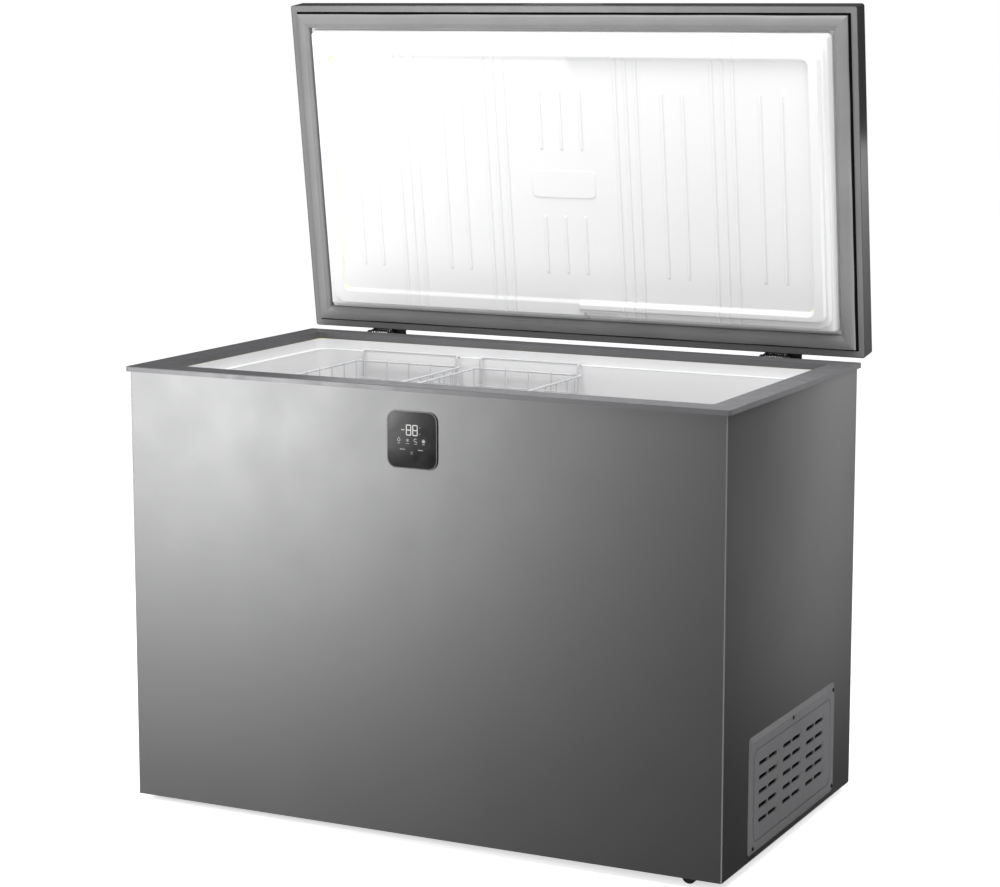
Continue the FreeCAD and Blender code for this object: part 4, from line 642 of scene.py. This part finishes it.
def plate_marks(name, outlines, look):
    """Flat printed shapes that stand a hair proud of the glass. Outlines are (x, z) loops."""
    verts, faces = [], []
    for outline in outlines:
        count = len(outline)
        start = len(verts)
        for y in (GLASS_Y - MARK_PROUD, GLASS_Y + MARK_SUNK):
            verts += [cab(x, y, z) for x, z in outline]
        faces.append(tuple(start + i for i in range(count)))
        for i in range(count):
            j = (i + 1) % count
            faces.append((start + i, start + count + i, start + count + j, start + j))
    mesh_piece(name, verts, faces, look, "cabinet", False)


def bar(x0, z0, x1, z1, width):
    """A straight stroke with pointed ends."""
    a, b = Vector((x0, z0)), Vector((x1, z1))
    along = (b - a).normalized() * width / 2
    side = Vector((-along.y, along.x))
    tip, shoulder = along * TIP, along * SHOULDER
    return [tuple(p) for p in (a - tip, a + side + shoulder, b + side - shoulder, b + tip,
                               b - side - shoulder, a - side + shoulder)]


def spoke(cx, cz, first, last, degrees, width):
    """A straight stroke along a ray, between two distances from its centre."""
    dx, dz = math.cos(math.radians(degrees)), math.sin(math.radians(degrees))
    return bar(cx + first * dx, cz + first * dz, cx + last * dx, cz + last * dz, width)


def arc_strokes(cx, cz, radius, start, end, width, pieces):
    found = []
    low, high = radius - width / 2, radius + width / 2
    for i in range(pieces):
        a0, a1 = (math.radians(start + (end - start) * k / pieces) for k in (i, i + 1))
        found.append([(cx + math.cos(a) * r, cz + math.sin(a) * r)
                      for a, r in ((a0, low), (a1, low), (a1, high), (a0, high))])
    return found


def digit_eight(cx):
    x0, x1 = cx - DIGIT_WIDE / 2, cx + DIGIT_WIDE / 2
    z0, z1 = DIGIT_Z - DIGIT_TALL / 2, DIGIT_Z + DIGIT_TALL / 2
    gap = DIGIT_STROKE * SEGMENT_GAP
    strokes = [(x0 + gap, z, x1 - gap, z) for z in (z0, DIGIT_Z, z1)]
    for x in (x0, x1):
        strokes += [(x, z0 + gap, x, DIGIT_Z - gap), (x, DIGIT_Z + gap, x, z1 - gap)]
    return [bar(*stroke, DIGIT_STROKE) for stroke in strokes]


def touch_marks():
    digits = [stroke for x in DIGIT_XS for stroke in digit_eight(x)] + [bar(*MINUS)]
    plate_marks("display_digits", digits, DIGIT_LOOK)
    icons = [piece for arc in ARCS for piece in arc_strokes(*arc)] + [bar(*stroke) for stroke in STROKES]
    icons += [spoke(FAN_X, ICON_Z, -FAN_R, FAN_R, turn, FAN_STROKE) for turn in FAN_TURNS]
    icons += [spoke(SUN_X, ICON_Z, SUN_IN, SUN_OUT, turn, SUN_STROKE) for turn in range(0, 360, SUN_STEP)]
    for middles, z, half, width in UNDERLINES:
        icons += [bar(x - half, z, x + half, z, width) for x in middles]
    plate_marks("display_icons", icons, ICON_LOOK)


touch_marks()

# ---------------------------------------------------------------- floor, world, lights and camera
FLOOR_HALF = 14.0
FLOOR_DIM, FLOOR_PALE = (0.88, 0.88, 0.88), (0.90, 0.90, 0.90)
floor_mesh = bpy.data.meshes.new("floor")
floor_mesh.from_pydata([(x * FLOOR_HALF, y * FLOOR_HALF, 0) for x, y in ((-1, -1), (1, -1), (1, 1), (-1, 1))],
                       [], [(0, 1, 2, 3)])
floor_mesh.materials.append(glowing("floor_pale", FLOOR_DIM, FLOOR_PALE, scale=2.0, detail=3.0, glow=0.72,
                                    rough=0.9, Specular_IOR_Level=0.0))
floor = bpy.data.objects.new("floor", floor_mesh)
bpy.context.scene.collection.objects.link(floor)
floor.visible_glossy = False

# The world is white to the camera, soft to matt surfaces and nearly dark in reflections.
SEEN, SOFT, GLOSS = 1.0, 0.45, 0.02
bpy.context.scene.view_settings.view_transform = "Standard"
world = bpy.data.worlds.new("studio")
bpy.context.scene.world = world
world.use_nodes = True
tree = world.node_tree
tree.nodes.clear()
light_path = tree.nodes.new("ShaderNodeLightPath")


def background(strength):
    made = tree.nodes.new("ShaderNodeBackground")
    made.inputs["Color"].default_value = (*WHITE, 1.0)
    made.inputs["Strength"].default_value = strength
    return made.outputs[0]


def either(ray, otherwise, when):
    mix = tree.nodes.new("ShaderNodeMixShader")
    tree.links.new(light_path.outputs[ray], mix.inputs["Fac"])
    tree.links.new(otherwise, mix.inputs[1])
    tree.links.new(when, mix.inputs[2])
    return mix.outputs[0]


matt_or_gloss = either("Is Glossy Ray", background(SOFT), background(GLOSS))
surface = either("Is Camera Ray", matt_or_gloss, background(SEEN))
tree.links.new(surface, tree.nodes.new("ShaderNodeOutputWorld").inputs["Surface"])


def soft_box(name, place, target, wide, tall, watts):
    light = bpy.data.lights.new(name, "AREA")
    light.shape = "RECTANGLE"
    light.size, light.size_y = wide, tall
    light.energy = watts
    holder = bpy.data.objects.new(name, light)
    holder.location = place
    holder.rotation_euler = (Vector(target) - Vector(place)).to_track_quat("-Z", "Y").to_euler()
    holder.visible_camera = False
    bpy.context.scene.collection.objects.link(holder)


soft_box("key_left", (-0.90, -1.47, 0.73), (-1.16, -0.34, 0.66), wide=0.6, tall=0.5, watts=24.0)
soft_box("side_rear", (0.80, 0.38, 0.66), (0.40, 0.36, 0.53), wide=0.3, tall=1.1, watts=1.55)
soft_box("top", (1.05, -0.44, 2.15), (0.0, 0.20, 1.1), wide=1.5, tall=1.1, watts=14.0)
soft_box("overhead", (-0.2, -0.55, 3.3), (0.0, -0.05, 0.7), wide=1.2, tall=1.0, watts=52.0)

AZIMUTH, PITCH, ROLL = -0.44048, 0.14849, 0.003908
EYE = Vector((2.0238, -4.0351, 1.3930))
ahead = Vector((math.sin(AZIMUTH) * math.cos(PITCH), math.cos(AZIMUTH) * math.cos(PITCH), -math.sin(PITCH)))
level = ahead.cross(Vector((0, 0, 1))).normalized()
above = level.cross(ahead)
cam_x = level * math.cos(ROLL) + above * math.sin(ROLL)
cam_y = above * math.cos(ROLL) - level * math.sin(ROLL)
camera_data = bpy.data.cameras.new("camera")
camera_data.sensor_width = 36.0
camera_data.lens = 91.7
camera_data.shift_x, camera_data.shift_y = -0.0661, -0.0399
camera_data.clip_end = 100.0
camera = bpy.data.objects.new("camera", camera_data)
bpy.context.scene.collection.objects.link(camera)
camera.matrix_world = Matrix.Translation(EYE) @ Matrix((cam_x, cam_y, -ahead)).transposed().to_4x4()
bpy.context.scene.camera = camera
